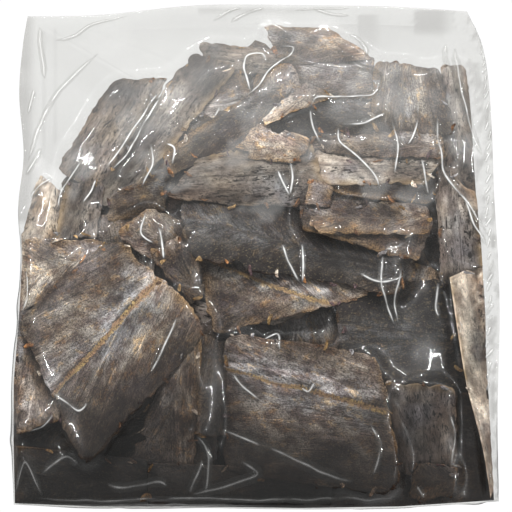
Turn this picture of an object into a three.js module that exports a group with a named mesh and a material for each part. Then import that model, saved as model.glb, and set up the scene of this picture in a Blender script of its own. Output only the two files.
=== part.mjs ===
// A clear film bag of dried blue whiting, lying on its back with the filled face up.
// The bag is one closed solid. Its upper face is the film, drawn down tight over a loose heap of
// splayed dried fish, so every fish on top stands out as a low ledge with its own slope.
// Units are millimetres. +X runs across the bag, +Y towards its flat header and +Z up.
import * as THREE from "three";

// ---- The bag: its seams, seen from above ----
const SIDES = {
  left: [
    [-149, -154], [-150, -116], [-150, -78], [-147, -40], [-145, -2],
    [-147, 30], [-144, 62], [-147, 100], [-145, 130], [-142, 149],
  ],
  right: [
    [149, -152], [148, -114], [149, -76], [150, -38], [149, 0],
    [147, 38], [146, 76], [144, 110], [140, 132], [131, 152],
  ],
  foot: [[-149, -154], [-100, -156], [-40, -156], [27, -157], [88, -156], [149, -152]],
  header: [[-142, 149], [-96, 150], [-35, 156], [27, 156], [85, 155], [131, 152]],
};
const SEAM_HEIGHT = 12; // how high the side and foot seams ride on the full bag
const HEADER_SEAM_HEIGHT = 3;
const FINS = { left: 3, foot: 1.5, header: 3 }; // width of the flat film outside the contents
const RIGHT_FIN = [[-150, 3], [-110, 4], [-60, 8], [0, 10], [60, 12], [150, 13]]; // and on the right, by y
// Width in which the film climbs to its full height.
const WALLS = { left: 10, right: 14, foot: 8, header: 46 };
const WALL_HEIGHT = 64;
const UNDERSIDE_RISE = 18; // width of the rounded strip between the flat base and a seam
const FILM_GAP = 1.0; // film above the fish it touches
const FIN_THICKNESS = 1.8;
const FILM_SAG = 0.07; // how far the pressed film dips between neighbouring points

// ---- The film's grid ----
const STEPS_ACROSS = 62;
const STEPS_ALONG = 64;
const UNDERSIDE_RINGS = [[0.5, 0], [1, 0], [1, 0.3], [1, 0.6], [1, 1]]; // shares of the fin and of the rise
const RELAX_PASSES = 420;

// ---- The heap of fish under the film ----
const CELL = 2.5;
const HALF_SPAN = 160;
const CELLS = (2 * HALF_SPAN) / CELL + 1;
const FISH_EDGE = 1.6; // thickness at the rim, and what the flesh adds further in
const FISH_FLESH = 2.2;
const CROWN_WIDTH = 10; // from the rim to the full thickness

// Height the hidden fish fill up to: along the bag, then falling off towards its sides.
const BED_ALONG = [[-150, 27], [-60, 31], [0, 28], [60, 19], [110, 9], [145, 3]];
const BED_LEFT = [[-155, -144], [10, -141], [100, -92], [140, 0]];
const BED_RIGHT = [[-155, 138], [95, 130], [140, 70]];
const BED_TOP = [[-140, 20], [-92, 100], [-40, 122], [30, 142], [134, 96]];
const BED_FOOT = -152;
const BED_TRIES = 400;
const BED_OVERHANG = 6; // how far a hidden fish may stick out of that outline

// The fish that show, from the lowest to the highest: x and y of four corners, which go start low,
// end low, end high, start high, where "start" to "end" runs along the fish and "high" is on its left.
const FISH = {
  foot_right: [40, -156, 134, -155, 132, -116, 44, -122],
  right_low: [112, -154, 146, -152, 145, -84, 112, -86],
  lower_dark: [-147, -146, -56, -89, -84, -62, -147, -92],
  top_strip: [-32, 112, 18, 112, 18, 128, -36, 132],
  top_grey: [18, 92, 70, 92, 74, 123, 21, 123],
  top_fold: [18, 117, 74, 121, 46, 142, 4, 143],
  right_top_side: [114, 117, 114, 40, 137, 38, 130, 117],
  yellow_square: [122, 73, 115, 115, 75, 121, 68, 73],
  right_side: [141, -27, 138, 32, 109, 60, 114, -27],
  left_spotted: [-94, 38, -53, 110, -89, 110, -125, 53],
  left_long: [-83, 28, -10, 116, -41, 128, -104, 29],
  left_pale: [-120, 5, -118, 36, -134, 49, -147, 5],
  left_lump: [-98, 7, -92, 42, -118, 44, -124, 9],
  left_curl: [-147, -38, -97, -11, -92, 7, -147, 8],
  grey_fold: [-93, 19, -55, 25, -55, 49, -89, 35],
  pale_tab: [-86, 11, -41, -20, -30, 11, -66, 28],
  pale_corner: [-66, 0, -41, -34, -25, -21, -47, 10],
  blue_slab: [55, -80, 124, -92, 122, -15, 46, -21],
  pitted_upright: [122, -137, 123, -84, 78, -78, 86, -135],
  golden_tip: [94, -151, 122, -149, 123, -132, 99, -126],
  dark_gap: [-15, -113, -15, -55, -35, -51, -38, -113],
  lower_mid: [-40, -149, -31, -52, -50, -56, -84, -146],
  foot_left: [-147, -156, -66, -157, -66, -127, -147, -118],
  foot_middle: [-66, -157, 46, -157, 46, -132, -66, -129],
  bottom_centre: [-21, -136, 91, -149, 74, -64, -18, -49],
  centre_chevron: [-27, -52, 72, -27, 46, 12, -37, 5],
  centre_dark: [-42, -5, 89, -29, 89, 12, -46, 40],
  golden_ledge: [27, 12, 100, -6, 109, 25, 27, 31],
  ledge_low: [32, 10, 105, 11, 105, 31, 32, 31],
  ledge_middle: [43, 37, 107, 29, 114, 50, 33, 56],
  ledge_high: [41, 41, 105, 42, 120, 65, 33, 65],
  ledge_top: [33, 60, 117, 58, 114, 75, 35, 75],
  brown_edge: [-53, 47, 38, 85, 21, 120, -58, 59],
  dark_short: [4, 72, 72, 73, 69, 94, 21, 101],
  speckled_dome: [-56, 33, 46, 25, 32, 73, -37, 58],
  dome_cream: [-14, 60, 26, 54, 33, 70, 2, 80],
  amber_fold: [29, 29, 44, 26, 47, 41, 33, 46],
  cream_flake: [6, 77, 46, 96, 32, 106, 4, 83],
  belly_flap: [-118, -104, -126, -60, -147, -48, -147, -112],
  lower_left: [-104, -134, -27, -48, -86, 10, -147, -40],
  edge_on: [118, -16, 138, -149, 146, -138, 135, -7],
};
const LEANS = { right_top_side: 6, edge_on: 26 }; // how far the high side leans down

const clamp = THREE.MathUtils.clamp;
const smooth = (t) => THREE.MathUtils.smoothstep(t, 0, 1);

// Straight-line interpolation through [at, value] pairs.
function interpolate(pairs, at) {
  const last = pairs.length - 1;
  if (at <= pairs[0][0]) return pairs[0][1];
  if (at >= pairs[last][0]) return pairs[last][1];
  const k = pairs.findIndex((pair) => pair[0] > at);
  const [a, b] = [pairs[k - 1], pairs[k]];
  return a[1] + ((b[1] - a[1]) * (at - a[0])) / (b[0] - a[0]);
}

// ---- The bag's plan: a patch stretched between its four seams ----
const seamCurve = (points) => new THREE.SplineCurve(points.map((p) => new THREE.Vector2(...p)));
const seams = Object.fromEntries(Object.entries(SIDES).map(([side, points]) => [side, seamCurve(points)]));
const corner = (x, y) => new THREE.Vector2(x, y);
const footLeft = corner(...SIDES.foot[0]);
const footRight = corner(...SIDES.foot.at(-1));
const headLeft = corner(...SIDES.header[0]);
const headRight = corner(...SIDES.header.at(-1));

// u runs across the bag and v along it, both from 0 to 1.
function planPoint(u, v) {
  const point = new THREE.Vector2();
  point.addScaledVector(seams.left.getPoint(v), 1 - u).addScaledVector(seams.right.getPoint(v), u);
  point.addScaledVector(seams.foot.getPoint(u), 1 - v).addScaledVector(seams.header.getPoint(u), v);
  point.addScaledVector(footLeft, -(1 - u) * (1 - v)).addScaledVector(footRight, -u * (1 - v));
  return point.addScaledVector(headLeft, -(1 - u) * v).addScaledVector(headRight, -u * v);
}

// How far a place is inside the flat fin along each side of the bag, and how high the seams ride there.
const swapped = (points) => points.map(([x, y]) => [y, x]);
const leftSeam = swapped(SIDES.left);
const rightSeam = swapped(SIDES.right);
function bagPlace(x, y) {
  const foot = interpolate(SIDES.foot, x);
  const header = interpolate(SIDES.header, x);
  const inset = {
    left: x - interpolate(leftSeam, y) - FINS.left,
    right: interpolate(rightSeam, y) - x - interpolate(RIGHT_FIN, y),
    foot: y - foot - FINS.foot,
    header: header - y - FINS.header,
  };
  const along = (y - foot) / (header - foot);
  const seam = THREE.MathUtils.lerp(SEAM_HEIGHT, HEADER_SEAM_HEIGHT, smooth((along - 0.45) / 0.5));
  return { inset, seam };
}

// Height of the film's underside: flat at zero, rounding up to the seams.
function undersideHeight(x, y) {
  const { inset, seam } = bagPlace(x, y);
  return seam * (1 - smooth(Math.min(...Object.values(inset)) / UNDERSIDE_RISE));
}

// The most that the bag's walls leave for the fish: steep at the sides and long at the header.
function wallHeight(x, y) {
  const { inset, seam } = bagPlace(x, y);
  const rise = Math.min(...Object.keys(WALLS).map((side) => clamp(inset[side] / WALLS[side], 0, 1)));
  return seam + FILM_GAP + WALL_HEIGHT * Math.sqrt(1 - (1 - rise) ** 2);
}

// ---- The heap ----
const heap = new Float64Array(CELLS * CELLS);
const room = new Float64Array(CELLS * CELLS);
const cellAt = (column, row) => row * CELLS + column;

function startHeap() {
  for (let row = 0; row < CELLS; row += 1) {
    for (let column = 0; column < CELLS; column += 1) {
      const [x, y] = [column * CELL - HALF_SPAN, row * CELL - HALF_SPAN];
      heap[cellAt(column, row)] = undersideHeight(x, y) + FILM_GAP;
      room[cellAt(column, row)] = wallHeight(x, y);
    }
  }
}

// How far a place is inside the outline of the hidden fish, and the height they should reach there.
function bedInset(x, y) {
  return Math.min(
    x - interpolate(BED_LEFT, y),
    interpolate(BED_RIGHT, y) - x,
    (y - BED_FOOT) * 1.6,
    interpolate(BED_TOP, x) - y,
  );
}
const bedTarget = (x, y) => interpolate(BED_ALONG, y) * Math.sqrt(clamp(bedInset(x, y) / 16, 0, 1));

// A fish seen from above: its corners, the sides between them, and the straight frame that its bend
// is told in.
function makeFish(coordinates, lean = 0) {
  const corners = [0, 2, 4, 6].map((k) => corner(coordinates[k], coordinates[k + 1]));
  const [startLow, endLow, endHigh, startHigh] = corners;
  const sides = corners.map((point, k) => ({
    point,
    run: corners[(k + 1) % 4].clone().sub(point).normalize(),
  }));
  const start = startLow.clone().lerp(startHigh, 0.5);
  const end = endLow.clone().lerp(endHigh, 0.5);
  const length = start.distanceTo(end);
  const width = (startLow.distanceTo(startHigh) + endLow.distanceTo(endHigh)) / 2;
  const centre = start.clone().lerp(end, 0.5);
  return { corners, sides, lean, length, width, centre, axis: end.sub(start).normalize() };
}

// Corners of a turned rectangle, in the order of the table of fish.
function rectangle(x, y, turn, length, width) {
  const along = corner(Math.cos(turn), Math.sin(turn)).multiplyScalar(length / 2);
  const across = corner(-Math.sin(turn), Math.cos(turn)).multiplyScalar(width / 2);
  return [[-1, -1], [1, -1], [1, 1], [-1, 1]].flatMap(([s, t]) => [
    x + s * along.x + t * across.x,
    y + s * along.y + t * across.y,
  ]);
}

// The cells under a fish, with their place along it (s) and across it (t), about -1 to 1, and their
// distance from its rim.
function cellsUnder({ sides, centre, axis, length, width }) {
  const found = [];
  for (let row = 0; row < CELLS; row += 1) {
    for (let column = 0; column < CELLS; column += 1) {
      const [x, y] = [column * CELL - HALF_SPAN, row * CELL - HALF_SPAN];
      const rim = Math.min(...sides.map(({ point, run }) => run.x * (y - point.y) - run.y * (x - point.x)));
      if (rim < 0) continue;
      const [dx, dy] = [x - centre.x, y - centre.y];
      const s = (dx * axis.x + dy * axis.y) / (length / 2);
      const t = (dy * axis.x - dx * axis.y) / (width / 2);
      found.push({ cell: cellAt(column, row), s, t, rim });
    }
  }
  return found;
}

// Solves the small dense system left by the least-squares fit.
function solve(matrix, right) {
  const n = right.length;
  for (let i = 0; i < n; i += 1) {
    for (let j = i + 1; j < n; j += 1) {
      const factor = matrix[j][i] / matrix[i][i];
      for (let k = i; k < n; k += 1) matrix[j][k] -= factor * matrix[i][k];
      right[j] -= factor * right[i];
    }
  }
  for (let i = n - 1; i >= 0; i -= 1) {
    for (let k = i + 1; k < n; k += 1) right[i] -= matrix[i][k] * right[k];
    right[i] /= matrix[i][i];
  }
  return right;
}

// How a dried fish may bend: it tilts freely, bows a little and hardly twists.
const bendTerms = ({ s, t }) => [1, s, t, s * s, t * t, s * t];
const STIFFNESS = [0, 0.02, 0.05, 0.25, 0.5, 0.3];

// Lays one fish on the heap: it bends to what lies under it and rests on the high places there.
function layFish(fish) {
  const under = cellsUnder(fish);
  const matrix = STIFFNESS.map((_, i) => STIFFNESS.map((stiff, j) => (i === j ? stiff * under.length : 0)));
  const right = STIFFNESS.map(() => 0);
  for (const place of under) {
    const terms = bendTerms(place);
    terms.forEach((a, i) => {
      terms.forEach((b, j) => (matrix[i][j] += a * b));
      right[i] += a * heap[place.cell];
    });
  }
  const bend = solve(matrix, right);
  if (fish.lean > 0) [bend[2], bend[4], bend[5]] = [-fish.lean / 2, 0, 0];
  const rest = (place) => bendTerms(place).reduce((sum, term, i) => sum + term * bend[i], 0);
  const gaps = under.map((place) => heap[place.cell] - rest(place)).sort((a, b) => a - b);
  const lift = gaps[Math.floor(gaps.length * 0.9)];
  for (const place of under) {
    const top = rest(place) + lift + FISH_EDGE + FISH_FLESH * smooth(place.rim / CROWN_WIDTH);
    heap[place.cell] = Math.max(heap[place.cell], Math.min(top, room[place.cell]));
  }
}

// Hidden fish, spread evenly by fixed fractions and only where the heap is still low.
function layBed() {
  for (let k = 0; k < BED_TRIES; k += 1) {
    const length = 78 + 30 * ((k * 0.618034) % 1);
    const width = 52 + 18 * ((k * 0.414214) % 1);
    const turn = Math.PI * ((k * 0.381966) % 1);
    const y = -118 + 236 * ((k * 0.56984) % 1);
    const low = interpolate(BED_LEFT, y) + 42;
    const high = interpolate(BED_RIGHT, y) - 42;
    const x = low + (high - low) * ((k * 0.754878) % 1);
    const fish = makeFish(rectangle(x, y, turn, length, width));
    if (Math.min(...fish.corners.map((point) => bedInset(point.x, point.y))) < -BED_OVERHANG) continue;
    const under = cellsUnder(fish);
    const mean = under.reduce((sum, place) => sum + heap[place.cell], 0) / under.length;
    if (mean < bedTarget(x, y) - 3) layFish(fish);
  }
}

// The highest fish near a place, so that the film clears every corner.
function heapHeight(x, y) {
  const column = clamp((x + HALF_SPAN) / CELL, 1, CELLS - 3);
  const row = clamp((y + HALF_SPAN) / CELL, 1, CELLS - 3);
  const [c, r] = [Math.floor(column), Math.floor(row)];
  return Math.max(
    heap[cellAt(c, r)], heap[cellAt(c + 1, r)], heap[cellAt(c, r + 1)], heap[cellAt(c + 1, r + 1)],
  );
}

// ---- The film: a skin under tension, pressed down on the heap ----
function drapeFilm() {
  const rows = STEPS_ALONG + 1;
  const columns = STEPS_ACROSS + 1;
  const film = [];
  for (let j = 0; j < rows; j += 1) {
    for (let i = 0; i < columns; i += 1) {
      const [u, v] = [i / STEPS_ACROSS, j / STEPS_ALONG];
      const { x, y } = planPoint(u, v);
      const onSeam = i === 0 || j === 0 || i === columns - 1 || j === rows - 1;
      const seat = undersideHeight(x, y) + (onSeam ? 0 : FIN_THICKNESS);
      const fish = Math.min(heapHeight(x, y) + FILM_GAP, wallHeight(x, y));
      const floor = onSeam ? seat : Math.max(seat, fish);
      film.push({ x, y, z: floor, floor, onSeam });
    }
  }
  for (let pass = 0; pass < RELAX_PASSES; pass += 1) {
    film.forEach((point, k) => {
      if (point.onSeam) return;
      const around = film[k - 1].z + film[k + 1].z + film[k - columns].z + film[k + columns].z;
      point.z = Math.max(point.floor, around / 4 - FILM_SAG);
    });
  }
  return film;
}

// Walks round the bag once, anticlockwise from the left foot corner, inside the seams by shares of
// each side's fin and of the underside's rise.
const plan = new THREE.Box2().setFromPoints(Object.values(SIDES).flat().map((p) => new THREE.Vector2(...p)));
const planSize = plan.getSize(new THREE.Vector2());
function ring(finShare, riseShare) {
  const inset = (fin, span) => (fin * finShare + UNDERSIDE_RISE * riseShare) / span;
  const rightFin = (v) => interpolate(RIGHT_FIN, plan.min.y + v * planSize.y);
  const place = (u, v) => ({
    u: THREE.MathUtils.lerp(inset(FINS.left, planSize.x), 1 - inset(rightFin(v), planSize.x), u),
    v: THREE.MathUtils.lerp(inset(FINS.foot, planSize.y), 1 - inset(FINS.header, planSize.y), v),
  });
  const walk = [];
  for (let i = 0; i < STEPS_ACROSS; i += 1) walk.push(place(i / STEPS_ACROSS, 0));
  for (let j = 0; j < STEPS_ALONG; j += 1) walk.push(place(1, j / STEPS_ALONG));
  for (let i = STEPS_ACROSS; i > 0; i -= 1) walk.push(place(i / STEPS_ACROSS, 1));
  for (let j = STEPS_ALONG; j > 0; j -= 1) walk.push(place(0, j / STEPS_ALONG));
  return walk;
}

// The film's own numbers for the points on its seam, in the order that ring() walks.
function seamIndices() {
  const columns = STEPS_ACROSS + 1;
  return ring(0, 0).map(({ u, v }) => Math.round(v * STEPS_ALONG) * columns + Math.round(u * STEPS_ACROSS));
}

function bagGeometry() {
  const film = drapeFilm();
  const positions = film.flatMap(({ x, y, z }) => [x, y, z]);
  const faces = [];
  const columns = STEPS_ACROSS + 1;
  for (let j = 0; j < STEPS_ALONG; j += 1) {
    for (let i = 0; i < STEPS_ACROSS; i += 1) {
      const a = j * columns + i;
      faces.push(a, a + 1, a + columns + 1, a, a + columns + 1, a + columns);
    }
  }
  let outer = seamIndices();
  for (const [finShare, riseShare] of UNDERSIDE_RINGS) {
    const inner = ring(finShare, riseShare).map(({ u, v }) => {
      const { x, y } = planPoint(u, v);
      positions.push(x, y, riseShare < 1 ? undersideHeight(x, y) : 0);
      return positions.length / 3 - 1;
    });
    outer.forEach((a, k) => {
      const next = (k + 1) % outer.length;
      faces.push(a, inner[k], inner[next], a, inner[next], outer[next]);
    });
    outer = inner;
  }
  const baseMiddle = positions.length / 3;
  positions.push(0, 0, 0);
  outer.forEach((a, k) => faces.push(a, baseMiddle, outer[(k + 1) % outer.length]));

  const geometry = new THREE.BufferGeometry();
  geometry.setAttribute("position", new THREE.Float32BufferAttribute(positions, 3));
  geometry.setIndex(faces);
  geometry.computeBoundingBox();
  const middle = geometry.boundingBox.getCenter(new THREE.Vector3());
  geometry.translate(-middle.x, -middle.y, 0);
  geometry.computeVertexNormals();
  return geometry;
}

startHeap();
layBed();
Object.entries(FISH).forEach(([name, corners]) => layFish(makeFish(corners, LEANS[name])));

const filmMaterial = new THREE.MeshStandardMaterial({ color: 0x8a7f76, roughness: 0.25, metalness: 0 });
const bag = new THREE.Mesh(bagGeometry(), filmMaterial);
bag.name = "bag";

const part = new THREE.Group();
part.add(bag);

export default part;
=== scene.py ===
"""Looks of a clear film bag of dried blue whiting, lying flat with its filled face up.

Lengths in this script are millimetres in the bag's own frame: +X across the bag, +Y towards its
flat header, +Z up. They become metres only where a mesh, a light or the camera is made.
The fish are laid one by one on a growing heap, and the film is a hardly stretching sheet that is
relaxed over that heap.
"""

import math

import bpy
import numpy as np
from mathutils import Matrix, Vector


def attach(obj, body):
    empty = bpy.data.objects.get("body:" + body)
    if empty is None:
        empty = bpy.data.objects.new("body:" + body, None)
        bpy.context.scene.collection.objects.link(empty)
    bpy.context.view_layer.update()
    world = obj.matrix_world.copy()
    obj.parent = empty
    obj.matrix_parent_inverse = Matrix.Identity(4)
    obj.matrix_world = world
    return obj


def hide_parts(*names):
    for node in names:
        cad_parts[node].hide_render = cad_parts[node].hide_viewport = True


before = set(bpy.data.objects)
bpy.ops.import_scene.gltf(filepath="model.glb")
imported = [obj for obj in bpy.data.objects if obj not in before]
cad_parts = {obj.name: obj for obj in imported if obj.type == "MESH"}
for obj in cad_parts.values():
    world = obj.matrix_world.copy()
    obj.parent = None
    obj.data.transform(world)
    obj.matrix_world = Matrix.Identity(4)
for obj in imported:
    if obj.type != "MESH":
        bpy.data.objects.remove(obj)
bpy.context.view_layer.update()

MM = 0.001

# ---- The bag: its seams, seen from above, as in the CAD model ----
SIDES = {
    "left": [(-149, -154), (-150, -116), (-150, -78), (-147, -40), (-145, -2),
             (-147, 30), (-144, 62), (-147, 100), (-145, 130), (-142, 149)],
    "right": [(149, -152), (148, -114), (149, -76), (150, -38), (149, 0),
              (147, 38), (146, 76), (144, 110), (140, 132), (131, 152)],
    "foot": [(-149, -154), (-100, -156), (-40, -156), (27, -157), (88, -156), (149, -152)],
    "header": [(-142, 149), (-96, 150), (-35, 156), (27, 156), (85, 155), (131, 152)],
}
SEAM_HEIGHT = 12.0
HEADER_SEAM_HEIGHT = 3.0
FINS = {"left": 3.0, "foot": 1.5, "header": 3.0}
RIGHT_FIN = [(-150, 3), (-110, 4), (-60, 8), (0, 10), (60, 12), (150, 13)]
WALLS = {"left": 10.0, "right": 14.0, "foot": 8.0, "header": 46.0}
WALL_HEIGHT = 64.0
UNDERSIDE_RISE = 18.0
# Rings of the underside: shares of the fin and of the rise that each is inside the seams.
UNDERSIDE_RINGS = ((0.5, 0), (1, 0), (1, 0.3), (1, 0.6), (1, 1))
FILM_GAP = 1.0
BAG_WIDTH = 300.0
BAG_LENGTH = 312.0
# How near the fish come to the seams, and how far those close to a seam are spread towards it.
FISH_MARGIN = 0.8
LEFT_REACH = 2.2
FOOT_REACH = 3.0
RIGHT_REACH = 5.0

# ---- The heap ----
CELL = 2.5
HALF_SPAN = 160.0
FISH_EDGE = 1.6
FISH_FLESH = 2.2
CROWN_WIDTH = 10.0
BED_ALONG = [(-150, 27), (-60, 31), (0, 28), (60, 19), (110, 9), (145, 3)]
BED_LEFT = [(-155, -144), (10, -141), (100, -92), (140, 0)]
BED_RIGHT = [(-155, 138), (95, 130), (140, 70)]
BED_TOP = [(-140, 20), (-92, 100), (-40, 122), (30, 142), (134, 96)]
BED_FOOT = -152.0
BED_TRIES = 400
BED_OVERHANG = 6.0
STIFFNESS = np.array([0, 0.02, 0.05, 0.25, 0.5, 0.3])

# The fish that show, from the lowest to the highest. First come x and y of four corners, as in the
# CAD model, which go start low, end low, end high, start high, where "start" to "end" runs along the
# fish and "high" is on its left when looking that way. Then comes how it looks: its side,
# brightness, warmth, paleness, and the sides with a golden rim, where a and b are its start and
# end and l and r its low and high side.
FISH = {
    "foot_right": ((40, -156, 134, -155, 132, -116, 44, -122), ("flesh", 0.1, 0.3, 0.0, "")),
    # right_low is kept dark as a painted shadow: it fills the shadow gap between blue_slab and edge_on.
    "right_low": ((112, -154, 146, -152, 145, -84, 112, -86), ("flesh", 0.2, 0.2, 0.0, "")),
    "lower_dark": ((-147, -146, -56, -89, -84, -62, -147, -92), ("flesh", 0.12, 0.2, 0.0, "")),
    "top_strip": ((-32, 112, 18, 112, 18, 128, -36, 132), ("skin", 0.72, 0.3, 0.3, "")),
    "top_grey": ((18, 92, 70, 92, 74, 123, 21, 123), ("flesh", 0.42, 0.2, 0.1, "")),
    "top_fold": ((18, 117, 74, 121, 46, 142, 4, 143), ("flesh", 0.94, 0.4, 0.25, "r")),
    "right_top_side": ((114, 117, 114, 40, 137, 38, 130, 117), ("skin", 0.7, 0.1, 0.2, "")),
    "yellow_square": ((122, 73, 115, 115, 75, 121, 68, 73), ("flesh", 0.36, 0.85, 0.3, "r")),
    "right_side": ((141, -27, 138, 32, 109, 60, 114, -27), ("skin", 0.62, 0.05, 0.1, "l")),
    "left_spotted": ((-94, 38, -53, 110, -89, 110, -125, 53), ("skin", 0.48, 0.25, 0.05, "")),
    "left_long": ((-83, 28, -10, 116, -41, 128, -104, 29), ("skin", 0.48, 0.2, 0.25, "l")),
    "left_pale": ((-120, 5, -118, 36, -134, 49, -147, 5), ("skin", 0.95, 0.5, 0.5, "")),
    "left_lump": ((-98, 7, -92, 42, -118, 44, -124, 9), ("skin", 0.55, 0.1, 0.1, "r")),
    "left_curl": ((-147, -38, -97, -11, -92, 7, -147, 8), ("flesh", 0.85, 0.3, 0.7, "lr")),
    "grey_fold": ((-93, 19, -55, 25, -55, 49, -89, 35), ("flesh", 0.24, 0.5, 0.0, "l")),
    "pale_tab": ((-86, 11, -41, -20, -30, 11, -66, 28), ("flesh", 0.7, 0.2, 0.4, "ab")),
    "pale_corner": ((-66, 0, -41, -34, -25, -21, -47, 10), ("flesh", 0.45, 0.5, 0.2, "a")),
    "blue_slab": ((55, -80, 124, -92, 122, -15, 46, -21), ("flesh", -0.01, 0.0, 0.0, "l")),
    "pitted_upright": ((122, -137, 123, -84, 78, -78, 86, -135), ("skin", 1.1, 0.15, 0.0, "b")),
    "golden_tip": ((94, -151, 122, -149, 123, -132, 99, -126), ("flesh", 0.6, 1.0, 0.1, "abl")),
    "dark_gap": ((-15, -113, -15, -55, -35, -51, -38, -113), ("flesh", 0.2, 0.6, 0.0, "r")),
    "lower_mid": ((-40, -149, -31, -52, -50, -56, -84, -146), ("flesh", 0.5, 0.3, 0.3, "l")),
    "foot_left": ((-147, -156, -66, -157, -66, -127, -147, -118), ("flesh", 0.06, 0.1, 0.0, "")),
    "foot_middle": ((-66, -157, 46, -157, 46, -132, -66, -129), ("flesh", 0.06, 0.2, 0.0, "")),
    "bottom_centre": ((-21, -136, 91, -149, 74, -64, -18, -49), ("flesh", 0.48, 0.0, 0.12, "b")),
    "centre_chevron": ((-27, -52, 72, -27, 46, 12, -37, 5), ("flesh", 0.46, 0.3, 0.2, "la")),
    "centre_dark": ((-42, -5, 89, -29, 89, 12, -46, 40), ("flesh", 0.02, 0.05, 0.0, "")),
    "golden_ledge": ((27, 12, 100, -6, 109, 25, 27, 31), ("flesh", 0.42, 0.45, 0.15, "l")),
    "ledge_low": ((32, 10, 105, 11, 105, 31, 32, 31), ("flesh", 0.66, 0.6, 0.1, "l")),
    "ledge_middle": ((43, 37, 107, 29, 114, 50, 33, 56), ("flesh", 0.58, 0.7, 0.1, "l")),
    "ledge_high": ((41, 41, 105, 42, 120, 65, 33, 65), ("skin", 0.75, 0.05, 0.25, "lb")),
    "ledge_top": ((33, 60, 117, 58, 114, 75, 35, 75), ("flesh", 0.66, 0.4, 0.15, "b")),
    "brown_edge": ((-53, 47, 38, 85, 21, 120, -58, 59), ("flesh", 0.4, 0.55, 0.0, "ra")),
    "dark_short": ((4, 72, 72, 73, 69, 94, 21, 101), ("flesh", 0.12, 0.0, 0.0, "")),
    "speckled_dome": ((-56, 33, 46, 25, 32, 73, -37, 58), ("skin", 0.6, 0.1, 0.05, "br")),
    "dome_cream": ((-14, 60, 26, 54, 33, 70, 2, 80), ("flesh", 0.8, 0.6, 0.75, "abl")),
    "amber_fold": ((29, 29, 44, 26, 47, 41, 33, 46), ("flesh", 0.5, 1.0, 0.0, "abr")),
    "cream_flake": ((6, 77, 46, 96, 32, 106, 4, 83), ("flesh", 0.95, 0.4, 0.95, "lb")),
    "belly_flap": ((-118, -104, -126, -60, -147, -48, -147, -112), ("flesh", 0.85, 0.9, 0.3, "ab")),
    "lower_left": ((-104, -134, -27, -48, -86, 10, -147, -40), ("flesh", 0.36, 0.25, 0.14, "b")),
    # edge_on's high brightness is painted light: it makes up for its face leaning away from the key light.
    "edge_on": ((118, -16, 138, -149, 146, -138, 135, -7), ("skin", 2.3, 0.3, 0.9, "l")),
}
# Where the line of the backbone starts and ends across a fish, from -1 to 1, and how strong it is.
SPINES = {
    "yellow_square": (0.1, 0.2, 0.3),
    "blue_slab": (-0.2, -0.05, 0.25),
    "bottom_centre": (0.45, 0.2, 0.8),
    "centre_chevron": (0.8, -1.4, 0.7),
    "centre_dark": (0.2, -0.3, 0.15),
    "lower_left": (-0.04, 0.07, 1.0),
}
# How far the high side of a fish leans down.
LEANS = {"right_top_side": 6, "edge_on": 26}
# Fish under all the others that only show through gaps between them at the sides.
LOW_FISH = [(108, -96, 141, -96, 141, -14, 108, -14), (-149, -96, -112, -96, -112, -8, -149, -8)]
LOW_HEIGHT = 12.0

# Looks of the low and the hidden fish in turn, with their backbones.
LOW_LOOK = ("flesh", 0.3, 0.1, 0.0, "l")
BED_LOOKS = [
    (("flesh", 0.34, 0.2, 0.1, "lr"), (0, 0, 0.6)),
    (("flesh", 0.44, 0.5, 0.15, "ab"), (0.1, 0, 0.5)),
    (("skin", 0.45, 0.1, 0.1, "r"), None),
    (LOW_LOOK, None),
]
# Painted shade on the fish, where they are darker than their own colour: centre, radii and strength.
SHADE_PATCHES = [
    (-58, -78, 16, 22, 0.55), (-76, -98, 22, 22, 0.6), (-96, -120, 30, 22, 0.55), (-20, -80, 14, 34, 0.6),
    (0, -136, 60, 20, 0.6), (60, -140, 50, 16, 0.55), (6, -118, 34, 16, 0.35), (-30, -120, 20, 40, 0.4),
    (0, 18, 40, 15, 0.35), (58, -6, 30, 10, 0.75), (110, -80, 7, 60, 0.4), (62, 26, 30, 7, 0.5),
    (74, -88, 30, 14, 0.35), (104, -118, 26, 26, 0.2), (40, -46, 40, 12, 0.3), (-104, 36, 12, 12, 0.3),
    (30, 96, 34, 20, 0.3), (96, 20, 20, 22, 0.25),
]
# Painted shade: how dark the fish are along the bag, by y.
FOOT_SHADE = ((-150, 0.88), (-118, 0.66), (-84, 0.36), (-50, 0.1), (-20, 0.0))

# Colours that blend into each other over a fish, as sRGB from 0 to 255.
SILVER = (150, 150, 151)
GOLD = (164, 136, 92)
PURPLE = (94, 76, 78)
BROWN = (112, 84, 60)
CREAM = (214, 204, 186)

# The angle in degrees between the fibres and the backbone, where it isn't the usual one.
USUAL_SLANT = 12
SLANTS = {
    "centre_chevron": 42, "centre_dark": 36, "lower_left": 17, "bottom_centre": 9, "blue_slab": 8,
    "left_curl": 30, "pale_tab": 25, "ledge_low": 20, "golden_tip": 30, "yellow_square": 5,
}
# Fish whose edges dried straight.
STRAIGHT_EDGED = ("edge_on", "foot_left", "foot_middle", "foot_right")
# Distance between the mesh points of a fish that shows and of a hidden one.
FISH_SPACING = 1.15
BED_SPACING = 3.2


# ---- Numbers and noise ----
def along(pairs, at):
    """Straight-line interpolation through (at, value) pairs."""
    return np.interp(at, [p[0] for p in pairs], [p[1] for p in pairs])


def smooth(t):
    """Rises softly from 0 to 1 as t does."""
    t = np.clip(t, 0, 1)
    return t * t * (3 - 2 * t)


def hump(distance, width):
    """A soft bump of height 1 that is nearly gone at the given distance."""
    return np.exp(-((distance / width) ** 2) * 2)


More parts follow.
